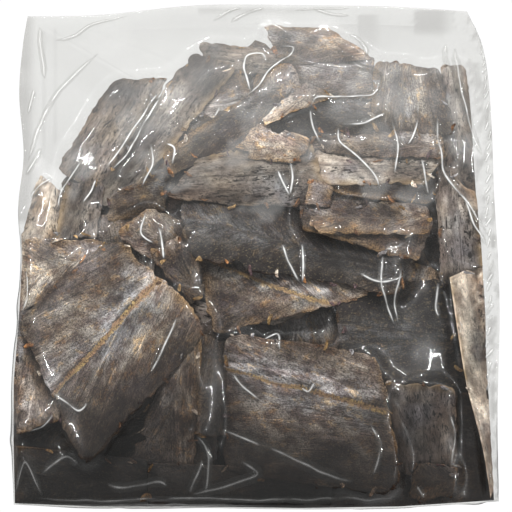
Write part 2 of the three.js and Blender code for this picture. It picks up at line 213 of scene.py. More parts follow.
def noise(x, y, size, seed):
    """Smooth seeded noise from 0 to 1, with features of about the given size."""
    lattice = np.random.default_rng(seed).random((64, 64))
    gx, gy = np.asarray(x) / size + 17.3, np.asarray(y) / size + 31.7
    i, j = np.floor(gx).astype(int), np.floor(gy).astype(int)
    fx, fy = smooth(gx - i), smooth(gy - j)
    at = lambda di, dj: lattice[(j + dj) % 64, (i + di) % 64]
    low = at(0, 0) * (1 - fx) + at(1, 0) * fx
    high = at(0, 1) * (1 - fx) + at(1, 1) * fx
    return low * (1 - fy) + high * fy


def layered(x, y, size, seed, layers=3):
    """Noise with finer noise on it, still about 0 to 1."""
    weights = [1 / 1.8 ** k for k in range(layers)]
    finer = [noise(x, y, size / 2 ** k, seed + 101 * k) for k in range(layers)]
    return sum(weight * layer for weight, layer in zip(weights, finer)) / sum(weights)


def patches(x, y, size, seed, low, width, layers=3):
    """Soft-edged patches: 0 where layered noise is below low, and 1 above low + width."""
    return smooth((layered(x, y, size, seed, layers) - low) / width)


def blurred(z, passes):
    """Heights averaged with their neighbours again and again."""
    for _ in range(passes):
        z = z.copy()
        z[1:-1] = (z[:-2] + 2 * z[1:-1] + z[2:]) / 4
        z[:, 1:-1] = (z[:, :-2] + 2 * z[:, 1:-1] + z[:, 2:]) / 4
    return z


def spread(z):
    """Each cell raised to its highest neighbour."""
    z = z.copy()
    z[1:-1] = np.maximum.reduce([z[:-2], z[1:-1], z[2:]])
    z[:, 1:-1] = np.maximum.reduce([z[:, :-2], z[:, 1:-1], z[:, 2:]])
    return z


def around(grid):
    """The values round the rim of a grid, in order."""
    return np.concatenate([grid[0, :-1], grid[:-1, -1], grid[-1, :0:-1], grid[:0:-1, 0]])


# ---- The bag's plan and walls ----
def seam_x(side, y):
    """Where the left or right seam runs."""
    return along([(b, a) for a, b in SIDES[side]], y)


def bag_place(x, y):
    """How far a place is inside the flat fin along each side, and the height of the seams there."""
    foot, header = along(SIDES["foot"], x), along(SIDES["header"], x)
    inset = {
        "left": x - seam_x("left", y) - FINS["left"],
        "right": seam_x("right", y) - x - along(RIGHT_FIN, y),
        "foot": y - foot - FINS["foot"],
        "header": header - y - FINS["header"],
    }
    up_the_bag = (y - foot) / (header - foot)
    seam = SEAM_HEIGHT + (HEADER_SEAM_HEIGHT - SEAM_HEIGHT) * smooth((up_the_bag - 0.45) / 0.5)
    return inset, seam


def underside_height(x, y):
    """The rounded underside: on the table in the middle and as high as the seams at the sides."""
    inset, seam = bag_place(x, y)
    return seam * (1 - smooth(np.minimum.reduce(list(inset.values())) / UNDERSIDE_RISE))


def wall_height(x, y):
    """The highest that the film reaches above a place."""
    inset, seam = bag_place(x, y)
    rise = np.minimum.reduce([np.clip(inset[k] / WALLS[k], 0, 1) for k in WALLS])
    return seam + FILM_GAP + WALL_HEIGHT * np.sqrt(1 - (1 - rise) ** 2)


def kept_inside(x, y):
    """Spreads fish against the side and foot seams, and keeps every point inside the seams."""
    x = x - LEFT_REACH * smooth((-138 - x) / 8) * smooth((20 - y) / 30)
    x = x + RIGHT_REACH * smooth((x - 126) / 9) * smooth((90 - y) / 30)
    y = y - FOOT_REACH * smooth((-146 - y) / 6)
    x = np.clip(x, seam_x("left", y) + FISH_MARGIN, seam_x("right", y) - along(RIGHT_FIN, y))
    y = np.clip(y, along(SIDES["foot"], x) + FISH_MARGIN, None)
    return x, y


def spline(points, t):
    """A Catmull-Rom curve through evenly counted points, for an array of t from 0 to 1."""
    p = np.array(points, float)
    last = len(p) - 1
    i = np.clip(np.floor(last * t).astype(int), 0, last - 1)
    w = (last * t - i)[..., None]
    before, start, end, after = p[np.maximum(i - 1, 0)], p[i], p[i + 1], p[np.minimum(i + 2, last)]
    before = np.where((i == 0)[..., None], start, before)
    v0, v1 = (end - before) / 2, (after - start) / 2
    return ((2 * start - 2 * end + v0 + v1) * w ** 3 + (3 * end - 3 * start - 2 * v0 - v1) * w ** 2
            + v0 * w + start)


def plan_point(u, v):
    """Where (u, v) of the flat sheet lies in plan: a patch stretched between the four seams."""
    left, right = spline(SIDES["left"], v), spline(SIDES["right"], v)
    foot, header = spline(SIDES["foot"], u), spline(SIDES["header"], u)
    u, v = u[..., None], v[..., None]
    corner = lambda side, end: np.array(SIDES[side][end], float)
    return (left * (1 - u) + right * u + foot * (1 - v) + header * v
            - corner("foot", 0) * (1 - u) * (1 - v) - corner("foot", -1) * u * (1 - v)
            - corner("header", 0) * (1 - u) * v - corner("header", -1) * u * v)


def plan_middle():
    """The middle of the bag in plan, which is the origin of the frame."""
    u, v = np.meshgrid(np.linspace(0, 1, 63), np.linspace(0, 1, 65))
    plan = plan_point(u, v).reshape(-1, 2)
    return np.array([*((plan.min(0) + plan.max(0)) / 2), 0.0])


MIDDLE = plan_middle()


# ---- Laying the fish ----
class Grid:
    """A square field of heights over the bag."""

    def __init__(self, cell):
        self.cell = cell
        axis = np.arange(int(2 * HALF_SPAN / cell) + 1) * cell - HALF_SPAN
        self.x, self.y = np.meshgrid(axis, axis)
        self.z = np.zeros_like(self.x)

    def at(self, x, y):
        """The height at places between the cells."""
        top = self.z.shape[0] - 1.001
        cx = np.clip((x + HALF_SPAN) / self.cell, 0, top)
        cy = np.clip((y + HALF_SPAN) / self.cell, 0, top)
        i, j = cx.astype(int), cy.astype(int)
        fx, fy = cx - i, cy - j
        low = self.z[j, i] * (1 - fx) + self.z[j, i + 1] * fx
        high = self.z[j + 1, i] * (1 - fx) + self.z[j + 1, i + 1] * fx
        return low * (1 - fy) + high * fy

    def stamp(self, x, y, z, keep):
        """Keeps the highest (np.maximum) or lowest (np.minimum) of the given points in each cell."""
        top = self.z.shape[0] - 1
        i = np.clip(np.rint((x + HALF_SPAN) / self.cell).astype(int), 0, top)
        j = np.clip(np.rint((y + HALF_SPAN) / self.cell).astype(int), 0, top)
        keep.at(self.z, (j.ravel(), i.ravel()), z.ravel())


def bend_terms(s, t):
    """How a dried fish may bend: it tilts freely, bows a little and hardly twists."""
    return np.stack([np.ones_like(s), s, t, s * s, t * t, s * t], -1)


class Fish:
    """A splayed fish seen from above: its corners, and the straight frame that its bend is told in."""

    def __init__(self, corners, lean=0.0):
        self.corners = np.array(corners, float).reshape(4, 2)
        self.lean = lean
        start, end = self.corners[[0, 3]].mean(0), self.corners[[1, 2]].mean(0)
        self.centre = (start + end) / 2
        self.length = np.linalg.norm(end - start)
        self.axis = (end - start) / self.length
        self.across = np.array([-self.axis[1], self.axis[0]])
        ends = self.corners[[3, 2]] - self.corners[[0, 1]]
        self.width = np.linalg.norm(ends, axis=1).mean()

    def frame(self, x, y):
        """Places along and across the fish, as -1 to 1 from edge to edge where it is a rectangle."""
        dx, dy = x - self.centre[0], y - self.centre[1]
        s = (dx * self.axis[0] + dy * self.axis[1]) / (self.length / 2)
        t = (dx * self.across[0] + dy * self.across[1]) / (self.width / 2)
        return s, t

    def margins(self, x, y):
        """Distance from each of the sides l, b, r and a, positive on the inside."""
        found = {}
        for side, start, end in zip("lbra", self.corners, np.roll(self.corners, -1, 0)):
            run = (end - start) / np.linalg.norm(end - start)
            found[side] = run[0] * (y - start[1]) - run[1] * (x - start[0])
        return found

    def place(self, s, t):
        """Where a point at (s, t) of the skewed rectangle lies."""
        weights = [(1 - s) * (1 - t), (1 + s) * (1 - t), (1 + s) * (1 + t), (1 - s) * (1 + t)]
        x = sum(w * c[0] for w, c in zip(weights, self.corners)) / 4
        y = sum(w * c[1] for w, c in zip(weights, self.corners)) / 4
        return x, y


def crown(nearest):
    """The height of the fish's upper face over its lower one, by the distance from its edge."""
    return FISH_EDGE + FISH_FLESH * smooth(nearest / CROWN_WIDTH)


class Heap:
    """The height that the fish laid so far reach over each place."""

    def __init__(self):
        self.grid = Grid(CELL)
        self.grid.z = underside_height(self.grid.x, self.grid.y) + FILM_GAP
        self.room = wall_height(self.grid.x, self.grid.y)

    def nearest(self, fish):
        """How far each place is inside the edge of a fish."""
        return np.minimum.reduce(list(fish.margins(self.grid.x, self.grid.y).values()))

    def lay(self, fish):
        """Lays one fish on the heap and returns how it bends."""
        nearest = self.nearest(fish)
        inside = nearest >= 0
        s, t = fish.frame(self.grid.x[inside], self.grid.y[inside])
        terms, heights = bend_terms(s, t), self.grid.z[inside]
        bend = np.linalg.solve(terms.T @ terms + np.diag(STIFFNESS * len(s)), terms.T @ heights)
        if fish.lean > 0:
            bend[2], bend[4], bend[5] = -fish.lean / 2, 0, 0
        gaps = np.sort(heights - terms @ bend)
        bend[0] += gaps[int(len(gaps) * 0.9)]
        top = np.minimum(terms @ bend + crown(nearest[inside]), self.room[inside])
        self.grid.z[inside] = np.maximum(heights, top)
        return bend

    def lay_bed(self):
        """Lays the hidden fish by fixed fractions, only where the heap is still low."""
        laid = []
        for k in range(BED_TRIES):
            length, width = 78 + 30 * ((k * 0.618034) % 1), 52 + 18 * ((k * 0.414214) % 1)
            y = -118 + 236 * ((k * 0.56984) % 1)
            low, high = along(BED_LEFT, y) + 42, along(BED_RIGHT, y) - 42
            x = low + (high - low) * ((k * 0.754878) % 1)
            turn = math.pi * ((k * 0.381966) % 1)
            fish = Fish(rectangle(x, y, turn, length, width))
            sticks_out = bed_inset(fish.corners[:, 0], fish.corners[:, 1]).min() < -BED_OVERHANG
            low_here = self.grid.z[self.nearest(fish) >= 0].mean() < bed_target(x, y) - 3
            if low_here and not sticks_out:
                laid.append((fish, self.lay(fish)))
        return laid


def rectangle(x, y, turn, length, width):
    """Corners of a turned rectangle in the order of the FISH table."""
    cos, sin = math.cos(turn), math.sin(turn)
    corners = []
    for s, t in ((-1, -1), (1, -1), (1, 1), (-1, 1)):
        lx, ly = s * length / 2, t * width / 2
        corners += [x + lx * cos - ly * sin, y + lx * sin + ly * cos]
    return corners


def bed_inset(x, y):
    """How far a place is inside the outline of the hidden bed of fish."""
    return np.minimum.reduce([x - along(BED_LEFT, y), along(BED_RIGHT, y) - x,
                              (y - BED_FOOT) * 1.6, along(BED_TOP, x) - y])


def bed_target(x, y):
    """The height that the hidden bed fills up to."""
    return along(BED_ALONG, y) * np.sqrt(np.clip(bed_inset(x, y) / 16, 0, 1))


# ---- The shape of one fish ----
def ragged(s, t, fish, seed):
    """The (s, t) of a mesh point once corners are rounded off and edges torn by the drying."""
    half_length, half_width = fish.length / 2, fish.width / 2
    near_side, near_end = np.sign(t), np.sign(s)
    wave = 4.2 * (layered(s * half_length, 40 + near_side * 9, 22, seed) - 0.5)
    fray = 2.6 * (layered(s * half_length, 7 + near_side * 5, 4.5, seed + 5, 2) - 0.5)
    end_wave = 5.0 * (layered(t * half_width, 60 + near_end * 7, 16, seed + 9) - 0.5)
    end_fray = 3.0 * (layered(t * half_width, 3 + near_end * 5, 4.0, seed + 11, 2) - 0.5)
    notch = -5.0 * smooth((noise(s * half_length, 80 + near_side * 6, 11, seed + 13) - 0.78) / 0.14)
    across = t * (1 - 0.07 * np.abs(s) ** 9 + (wave + fray + notch) / half_width * np.abs(t) ** 4)
    lengthwise = s * (1 - 0.06 * np.abs(t) ** 8 + (end_wave + end_fray) / half_length * np.abs(s) ** 4)
    return lengthwise, across


def shadow(x, y):
    """How much painted shade darkens the fish at a place, from 0 to 1."""
    dark = along(FOOT_SHADE, y)
    for cx, cy, rx, ry, strength in SHADE_PATCHES:
        dark = 1 - (1 - dark) * (1 - strength * np.exp(-((x - cx) / rx) ** 2 - ((y - cy) / ry) ** 2))
    return dark


def blended(weights, brightness):
    """The linear mix of colours by their weights, times a brightness."""
    total = sum(weights.values())
    mixed = sum(weight[..., None] * np.array(rgb(*colour)[:3]) for colour, weight in weights.items())
    return mixed / total[..., None] * brightness[..., None]


def fish_tint(kind, tone, warm, pale, out, off_spine, nearest, lx, ly, seed):
    """Silver near the backbone, then gold flecks, purple towards the belly and brown at the rim, with
    streaks of painted sheen near the backbone and on the flanks.
    """
    cloud = lambda size, k: layered(lx, ly, size, seed + k)
    spots = lambda size, k, low, width: patches(lx, ly, size, seed + k, low, width)
    streaks = patches(lx / 9, ly, 2.8, seed + 95, 0.42, 0.24, 2)
    rim = np.exp(-nearest / 4.5) * spots(12, 91, 0.3, 0.3)
    purple = smooth((out - 0.45) / 0.35) * spots(26, 85, 0.25, 0.4)
    weights = {
        SILVER: 0.45 + 1.6 * hump(out, 0.45),
        GOLD: 1.5 * warm * spots(14, 83, 0.4, 0.2) + 0.5 * hump(out - 0.5, 0.3) * cloud(8, 82),
        PURPLE: (2.0 if kind == "flesh" else 0.4) * purple,
        BROWN: 1.4 * rim + 0.5 * spots(34, 86, 0.5, 0.2),
        CREAM: 2.4 * pale * spots(11, 87, 0.36, 0.2) + 0.35 * rim * cloud(5, 88),
    }
    belly = 0.5 * smooth((out - 0.3) / 0.55) if kind == "flesh" else 0.15 * smooth(out)
    shade = (0.13 + 1.0 * tone) * (1 + 2.2 * (layered(lx, ly, 30, seed + 89, 4) - 0.5)) * (1.15 - belly)
    # Painted sheen: light streaks along the fish near the backbone, and faintly over skin.
    shade = shade * (1 + (0.9 * streaks - 0.3) * (hump(out, 0.32) if kind == "flesh" else 0.3))
    # The flank is the flesh's own silver, with painted sheen on it where the streaks are.
    flank_silver_and_sheen = hump(off_spine - 8, 10) * spots(20, 97, 0.3, 0.2)
    if kind == "flesh":
        weights[SILVER] = weights[SILVER] + 3 * flank_silver_and_sheen
        shade = shade * (1 + flank_silver_and_sheen * (0.25 + 0.6 * streaks))
    return blended(weights, np.clip(shade, 0.08, None))


def backbone_line(off_spine, strength, s, lx, ly, seed):
    """How strongly the line of the backbone shows at each point, and the relief of its bones."""
    wander = 2.0 * (noise(lx, 5 + 0 * lx, 17, seed + 51) - 0.5)
    unbroken = patches(lx, 12 + 0 * lx, 24, seed + 53, 0.05, 0.25)
    width = 2.6 + 1.2 * s + 2.6 * (layered(lx, ly, 6, seed + 57) - 0.5)
    line = hump(off_spine - wander, width) * strength * unbroken
    bones = 0.5 + 0.5 * np.cos(lx * 2 * math.pi / 3.6 + 2 * noise(lx, ly, 9, seed + 55))
    return line, line * (0.15 * bones - 0.4)


def golden_rim(margins, rims, lx, ly, seed):
    """How golden each point is: along the sides with a golden rim, and a little on all thin edges."""
    nearest = np.minimum.reduce(list(margins.values()))
    golden = 0.35 * hump(nearest, 1.5) * patches(lx, ly, 12, seed + 77, 0.5, 0.2)
    for side in rims:
        band = hump(margins[side], 2.4 + 4 * noise(lx, ly, 9, seed + 71))
        golden = np.maximum(golden, band * patches(lx, ly, 9, seed + 73, 0.25, 0.3))
    return golden


def fish_surface(name, fish, bend, look, backbone, spacing, seed):
    """Top and bottom points of one fish, and the values that its material reads."""
    kind, tone, warm, pale, rims = look
    spine_start, spine_end, spine_strength = backbone or (0, 0, 0)
    columns, rows = max(8, round(fish.length / spacing)), max(6, round(fish.width / spacing))
    quad_s, quad_t = np.meshgrid(np.linspace(-1, 1, columns + 1), np.linspace(-1, 1, rows + 1))
    if name not in STRAIGHT_EDGED:
        quad_s, quad_t = ragged(quad_s, quad_t, fish, seed)
    x, y = fish.place(quad_s, quad_t)
    x, y = kept_inside(x, y)
    s, t = fish.frame(x, y)
    margins = {side: np.clip(margin, 0, None) for side, margin in fish.margins(x, y).items()}
    nearest = np.minimum.reduce(list(margins.values()))
    lx, ly = s * fish.length / 2, t * fish.width / 2

    spine_t = np.interp(s, (-1, 1), (spine_start, spine_end))
    off_spine = (quad_t - spine_t) * fish.width / 2 + 1.6 * (noise(lx, ly, 22, seed + 21) - 0.5)
    slant = math.radians(SLANTS.get(name, USUAL_SLANT) if kind == "flesh" else 3)
    fibre_across = np.abs(off_spine) * math.cos(slant) + lx * math.sin(slant)
    fibre_along = lx * math.cos(slant) - np.abs(off_spine) * math.sin(slant)
    fibres = noise(fibre_along / 4, fibre_across, 1.9, seed + 31) - 0.5
    lumps = layered(lx, ly, 17, seed + 41) - 0.5
    small_lumps = layered(lx, ly, 5, seed + 43) - 0.5
    relief = 2.4 * lumps + 0.5 * small_lumps + (0.3 if kind == "flesh" else 0.1) * fibres
    spine = 0.0 * lx
    if backbone:
        spine, bones = backbone_line(off_spine, spine_strength, s, lx, ly, seed)
        relief = relief + bones

    curl = np.exp(-nearest / 4.5) * (5.0 * layered(lx, ly, 26, seed + 61) - 1.9)
    thickness = 0.7 + (FISH_EDGE + FISH_FLESH - 1.0) * smooth(nearest / 9)
    top = np.minimum(bend_terms(s, t) @ bend + crown(nearest) + relief + curl, wall_height(x, y))
    top = np.maximum(top, underside_height(x, y) + thickness + 0.3)

    out = np.abs(off_spine) / (fish.width / 2) if backbone else 1.3 * layered(lx, ly, 30, seed + 81)
    values = {
        "fibre": np.stack([fibre_along, fibre_across, seed * 7.31 + 4.7 * (off_spine > 0)], -1),
        "tint": fish_tint(kind, tone, warm, pale, out, off_spine, nearest, lx, ly, seed),
        "marks": np.stack([spine, golden_rim(margins, rims, lx, ly, seed), shadow(x, y)], -1),
    }
    return {"x": x, "y": y, "top": top, "bottom": top - thickness, "thickness": thickness,
            "values": values, "kind": kind, "name": name}


# Torn scraps that cling to the rims: colour and how often it comes.
SCRAP_COLOURS = [(BROWN, 4), (GOLD, 4), ((156, 112, 72), 2), (CREAM, 3), (SILVER, 3), (PURPLE, 2)]
SCRAP_EVERY = 15
SCRAP_THICKNESS = 0.35


def scraps(surfaces):
    """Small torn scraps of fish along the rims that show."""
    tops = heap_top(surfaces, 0)
    rng = np.random.default_rng(11)
    palette = [colour for colour, often in SCRAP_COLOURS for _ in range(often)]
    made = []
    for fish in surfaces:
        x, y, top = around(fish["x"]), around(fish["y"]), around(fish["top"])
        for k in range(int(rng.integers(SCRAP_EVERY)), len(x), SCRAP_EVERY):
            cx, cy = x[k] + rng.normal(0, 1.6), y[k] + rng.normal(0, 1.6)
            length, width, turn = rng.uniform(2.2, 7.5), rng.uniform(1.0, 2.8), rng.uniform(0, math.pi)
            colour, light = palette[rng.integers(len(palette))], rng.uniform(0.5, 1.25)
            on_rim = -2.0 < tops.at(cx, cy) - top[k] < 1.6 and bed_inset(cx, cy) > 2
            if on_rim and fish["name"] != "bed":
                shape = (cx, cy, turn, length, width)
                made.append(scrap(tops, top[k], shape, colour, light, len(made)))
    return made


def scrap(tops, level, shape, colour, light, seed):
    """One torn scrap that lies at the level of the rim it clings to."""
    cx, cy, turn, length, width = shape
    s, t = np.meshgrid(np.linspace(-1, 1, 7), np.linspace(-1, 1, 5))
    ragged_t = t * (1 - 0.6 * s ** 2) + 0.5 * (noise(s * 3, t * 3, 1.3, seed) - 0.5)
    lx = s * length / 2
    ly = ragged_t * width / 2 + 0.25 * width * np.sin(2 * s + seed)
    cos, sin = math.cos(turn), math.sin(turn)
    x, y = kept_inside(cx + lx * cos - ly * sin, cy + lx * sin + ly * cos)
    lie = np.clip(tops.at(x, y), level - 0.6, level + 1.2)
    top = np.minimum(lie + 0.4 + 0.35 * np.sin(3 * s + seed), wall_height(x, y))
    shade = light * (0.7 + 0.75 * noise(lx, ly, 2.0, seed))
    values = {
        "fibre": np.stack([lx, ly, seed + 0 * lx], -1),
        "tint": blended({colour: np.ones_like(lx)}, shade),
        "marks": np.stack([0 * lx, 0 * lx, shadow(x, y)], -1),
    }
    return {"x": x, "y": y, "top": top, "bottom": top - SCRAP_THICKNESS, "values": values}


def heap_top(surfaces, softened):
    """The highest fish over each place."""
    tops = Grid(2.0)
    for fish in surfaces:
        tops.stamp(fish["x"], fish["y"], fish["top"], np.maximum)
    tops.z = blurred(tops.z, softened)
    return tops


def settle(surfaces):
    """Presses each fish under the ones on top of it, from the highest down, so that none cut through, and
    paints shade on those that lie sunk below their neighbours.
    """
    lid = Grid(2.0)
    lid.z += 1000
    for fish in reversed(surfaces):
        room = lid.at(fish["x"], fish["y"]) - 0.3
        fish["top"] = np.minimum(fish["top"], room)
        fish["bottom"] = fish["top"] - fish["thickness"]
        lid.stamp(fish["x"], fish["y"], fish["bottom"], np.minimum)
    tops = heap_top(surfaces, 9)
    for fish in surfaces:
        # Painted shade: darker where a fish lies below the blurred top of the heap, in hollows and under
        # its neighbours.
        sunk_shade = smooth((tops.at(fish["x"], fish["y"]) - fish["top"] - 0.4) / 4.5)
        marks = fish["values"]["marks"]
        marks[..., 2] = 1 - (1 - marks[..., 2]) * (1 - 0.75 * sunk_shade)


# ---- Meshes ----
def point_index(rows, columns):
    """The numbers of the points of a grid."""
    return np.arange(rows * columns).reshape(rows, columns)


def grid_quads(rows, columns):
    """The quads of an open sheet of points."""
    index = point_index(rows, columns)
    return np.stack([index[:-1, :-1], index[:-1, 1:], index[1:, 1:], index[1:, :-1]], -1).reshape(-1, 4)


def sheet_faces(rows, columns):
    """Quads of a closed thin sheet whose top points come first and bottom points second."""
    top, lower = grid_quads(rows, columns), rows * columns
    rim = around(point_index(rows, columns))
    after = np.roll(rim, -1)
    side = np.stack([rim, rim + lower, after + lower, after], -1)
    return np.concatenate([top, top[:, ::-1] + lower, side])


def mesh_from(name, points, quads, values, loose_faces=()):
    """A smooth object from points in millimetres, quads and named values at its points."""
    mesh = bpy.data.meshes.new(name)
    faces = [*quads.tolist(), *loose_faces]
    mesh.from_pydata((points * MM).tolist(), [], faces)
    for key, value in values.items():
        kind, field = ("FLOAT_VECTOR", "vector") if value.ndim == 2 else ("FLOAT", "value")
        layer = mesh.attributes.new(key, kind, "POINT")
        layer.data.foreach_set(field, np.ascontiguousarray(value, np.float32).ravel())
    mesh.polygons.foreach_set("use_smooth", np.ones(len(mesh.polygons), bool))
    mesh.validate()
    mesh.update()
    piece = bpy.data.objects.new(name, mesh)
    bpy.context.scene.collection.objects.link(piece)
    return piece


def fish_points(fish):
    """A fish or scrap as points, quads and values."""
    place = lambda z: np.stack([fish["x"], fish["y"], z], -1).reshape(-1, 3)
    points = np.concatenate([place(fish["top"]), place(fish["bottom"])])
    values = {k: np.tile(v.reshape(-1, v.shape[-1]), (2, 1)) for k, v in fish["values"].items()}
    return points - MIDDLE, sheet_faces(*fish["x"].shape), values


def joined(made):
    """Several sets of points, quads and values as one."""
    starts = np.cumsum([0] + [len(points) for points, _, _ in made[:-1]])
    quads = np.concatenate([faces + start for (_, faces, _), start in zip(made, starts)])
    values = {k: np.concatenate([v[k] for _, _, v in made]) for k in made[0][2]}
    return np.concatenate([points for points, _, _ in made]), quads, values


# ---- Materials ----
SHINE = 0.45


class Shader:
    """A short way to write a node tree."""

    def __init__(self, name):
        self.material = bpy.data.materials.new(name)
        self.material.use_nodes = True
        self.tree = self.material.node_tree
        self.tree.nodes.clear()
        self.out = self.tree.nodes.new("ShaderNodeOutputMaterial")

    def finish(self, shader):
        """Gives the material its shader and returns it."""
        self.put(self.out.inputs["Surface"], shader)
        return self.material

    def put(self, socket, value):
        if isinstance(value, bpy.types.NodeSocket):
            self.tree.links.new(value, socket)
        elif value is not None:
            socket.default_value = value

    def node(self, kind, inputs=None, output=0, **settings):
        node = self.tree.nodes.new(kind)
        for key, value in settings.items():
            setattr(node, key, value)
        for key, value in (inputs or {}).items():
            self.put(node.inputs[key], value)
        return node.outputs[output]

    def math(self, operation, a, b=None, clamp=False):
        return self.node("ShaderNodeMath", {0: a, 1: b}, operation=operation, use_clamp=clamp)

    def rest(self, value):
        return self.math("SUBTRACT", 1.0, value)

    def tinted(self, colour, tint):
        return self.mix(1.0, colour, tint, "MULTIPLY")

    def mix(self, share, a, b, blend="MIX"):
        return self.node("ShaderNodeMix", {"Factor": share, 6: a, 7: b}, 2,
                         data_type="RGBA", blend_type=blend, clamp_factor=True)

    def cover(self, mask, strength, under, over):
        """One colour over another where a mask is 1, as strongly as told."""
        return self.mix(self.math("MULTIPLY", mask, strength), under, over)

    def noise(self, vector, scale, detail, roughness, distortion=0.0):
        return self.node("ShaderNodeTexNoise", {"Vector": vector, "Scale": scale, "Detail": detail,
                                                "Roughness": roughness, "Distortion": distortion})

    def step(self, value, low, high):
        return self.node("ShaderNodeMapRange", {"Value": value, "From Min": low, "From Max": high},
                         interpolation_type="SMOOTHSTEP")

    def grain(self, fibre, scales, detail, roughness, distortion=0.0):
        """Noise stretched along and across the fibres."""
        place = self.node("ShaderNodeVectorMath", {0: fibre, 1: scales}, operation="MULTIPLY")
        return self.noise(place, 1.0, detail, roughness, distortion)

    def vector(self, name):
        return self.node("ShaderNodeAttribute", output=1, attribute_name=name)

    def factor(self, name):
        return self.node("ShaderNodeAttribute", output=2, attribute_name=name)

    def bump(self, height, strength, distance, normal=None):
        return self.node("ShaderNodeBump", {"Height": height, "Strength": strength,
                                            "Distance": distance, "Normal": normal})


def rgb(red, green, blue):
    """An sRGB colour of 0 to 255 as the linear colour that a shader takes."""
    linear = [((c / 255 + 0.055) / 1.055) ** 2.4 if c > 10 else c / 255 / 12.92 for c in (red, green, blue)]
    return (*linear, 1.0)


def fish_shader(name):
    """What flesh and skin share: the values at each point."""
    sh = Shader(name)
    apart = [sh.node("ShaderNodeSeparateXYZ", {0: sh.vector("marks")}, part) for part in range(3)]
    return sh, sh.vector("fibre"), sh.vector("tint"), *apart


def darkened(sh, colour, dark):
    """The colour in the shade of the heap, where it is darker and browner."""
    return sh.mix(dark, colour, sh.tinted(colour, rgb(88, 72, 60)))


def weighted(sh, *pairs):
    """The sum of (value, weight) pairs."""
    total = None
    for value, weight in pairs:
        part = sh.math("MULTIPLY", value, weight)
        total = part if total is None else sh.math("ADD", total, part)
    return total


def cracks(sh, fibre):
    """Thin wandering dark lines, here and there."""
    field = sh.grain(fibre, (0.05, 0.22, 1), 4, 0.6, 0.6)
    off_line = sh.math("ABSOLUTE", sh.math("SUBTRACT", field, 0.52))
    here = sh.step(sh.grain(fibre, (0.05, 0.07, 2), 2, 0.5), 0.46, 0.56)
    return sh.math("MULTIPLY", sh.rest(sh.step(off_line, 0.0, 0.022)), here)


def zoned(sh, colour, fibre):
    """Purple and golden blotches, and long thin light and dark lines between the muscles."""
    blotch = sh.step(sh.grain(fibre, (0.09, 0.12, 5), 4, 0.6), 0.38, 0.62)
    colour = sh.tinted(colour, sh.mix(blotch, (0.52, 0.44, 0.44, 1), (1.34, 1.35, 1.38, 1)))
    golden = sh.step(sh.grain(fibre, (0.14, 0.22, 6), 4, 0.75), 0.54, 0.63)
    pale_line = sh.step(sh.grain(fibre, (0.03, 0.75, 7), 3, 0.5, 0.3), 0.58, 0.66)
    dark_line = sh.step(sh.grain(fibre, (0.03, 0.6, 8), 3, 0.5, 0.3), 0.6, 0.66)
    colour = sh.cover(golden, 0.7, colour, sh.tinted(colour, (1.8, 1.4, 0.85, 1)))
    colour = sh.cover(pale_line, 0.6, colour, sh.tinted(colour, (2.2, 2.2, 2.2, 1)))
    return sh.cover(dark_line, 0.7, colour, sh.tinted(colour, (0.3, 0.26, 0.25, 1)))


def finished(sh, colour, roughness, *bumps):
    """Closes a fish material with its layers of (height, strength, distance) bump."""
    normal = None
    for height, strength, distance in bumps:
        normal = sh.bump(height, strength, distance, normal)
    return sh.finish(sh.node("ShaderNodeBsdfPrincipled", {
        "Base Color": colour, "Roughness": roughness, "Specular IOR Level": SHINE, "Normal": normal,
    }))


def dried_flesh():
    """The inner side of a splayed fish: fibres, flecks, cracks and the line where the backbone was."""
    sh, fibre, tint, spine, rim, dark = fish_shader("dried_flesh")
    strokes = sh.grain(fibre, (0.5, 1.3, 1), 3, 0.65, 1.0)
    speckle = sh.grain(fibre, (1.1, 1.3, 1), 3, 0.7)
    fine = sh.grain(fibre, (2.4, 3.0, 1), 2, 0.6)
    light = sh.step(weighted(sh, (strokes, 0.24), (speckle, 0.4), (fine, 0.36)), 0.4, 0.61)
    colour = sh.tinted(tint, sh.mix(light, (0.16, 0.13, 0.13, 1), (1.95, 1.95, 1.95, 1)))
    colour = zoned(sh, colour, fibre)
    fleck = sh.step(sh.grain(fibre, (0.7, 1.0, 1.7), 3, 0.7), 0.57, 0.66)
    colour = sh.cover(fleck, 0.3, colour, rgb(196, 174, 136))
    colour = sh.cover(cracks(sh, fibre), 0.8, colour, rgb(30, 24, 22))
    hatch = sh.grain(fibre, (0.75, 0.32, 2), 4, 0.75, 0.8)
    browner = sh.step(sh.grain(fibre, (0.05, 0.05, 3), 2, 0.5), 0.42, 0.58)
    bone = sh.mix(browner, rgb(228, 196, 134), rgb(196, 158, 124))
    bone = sh.mix(sh.step(hatch, 0.44, 0.56), rgb(84, 58, 40), bone)
    frayed = sh.math("ADD", spine, sh.math("MULTIPLY", sh.math("SUBTRACT", hatch, 0.5), 1.6))
    colour = sh.cover(sh.step(frayed, 0.3, 0.6), 0.9, colour, bone)
    edge = sh.mix(sh.step(speckle, 0.4, 0.62), rgb(78, 54, 34), rgb(196, 160, 112))
    colour = darkened(sh, sh.cover(rim, 0.62, colour, edge), dark)
    bumps = (strokes, 0.5, 0.0008), (speckle, 0.55, 0.0006), (fine, 0.4, 0.0003)
    return finished(sh, colour, 0.46, *bumps)


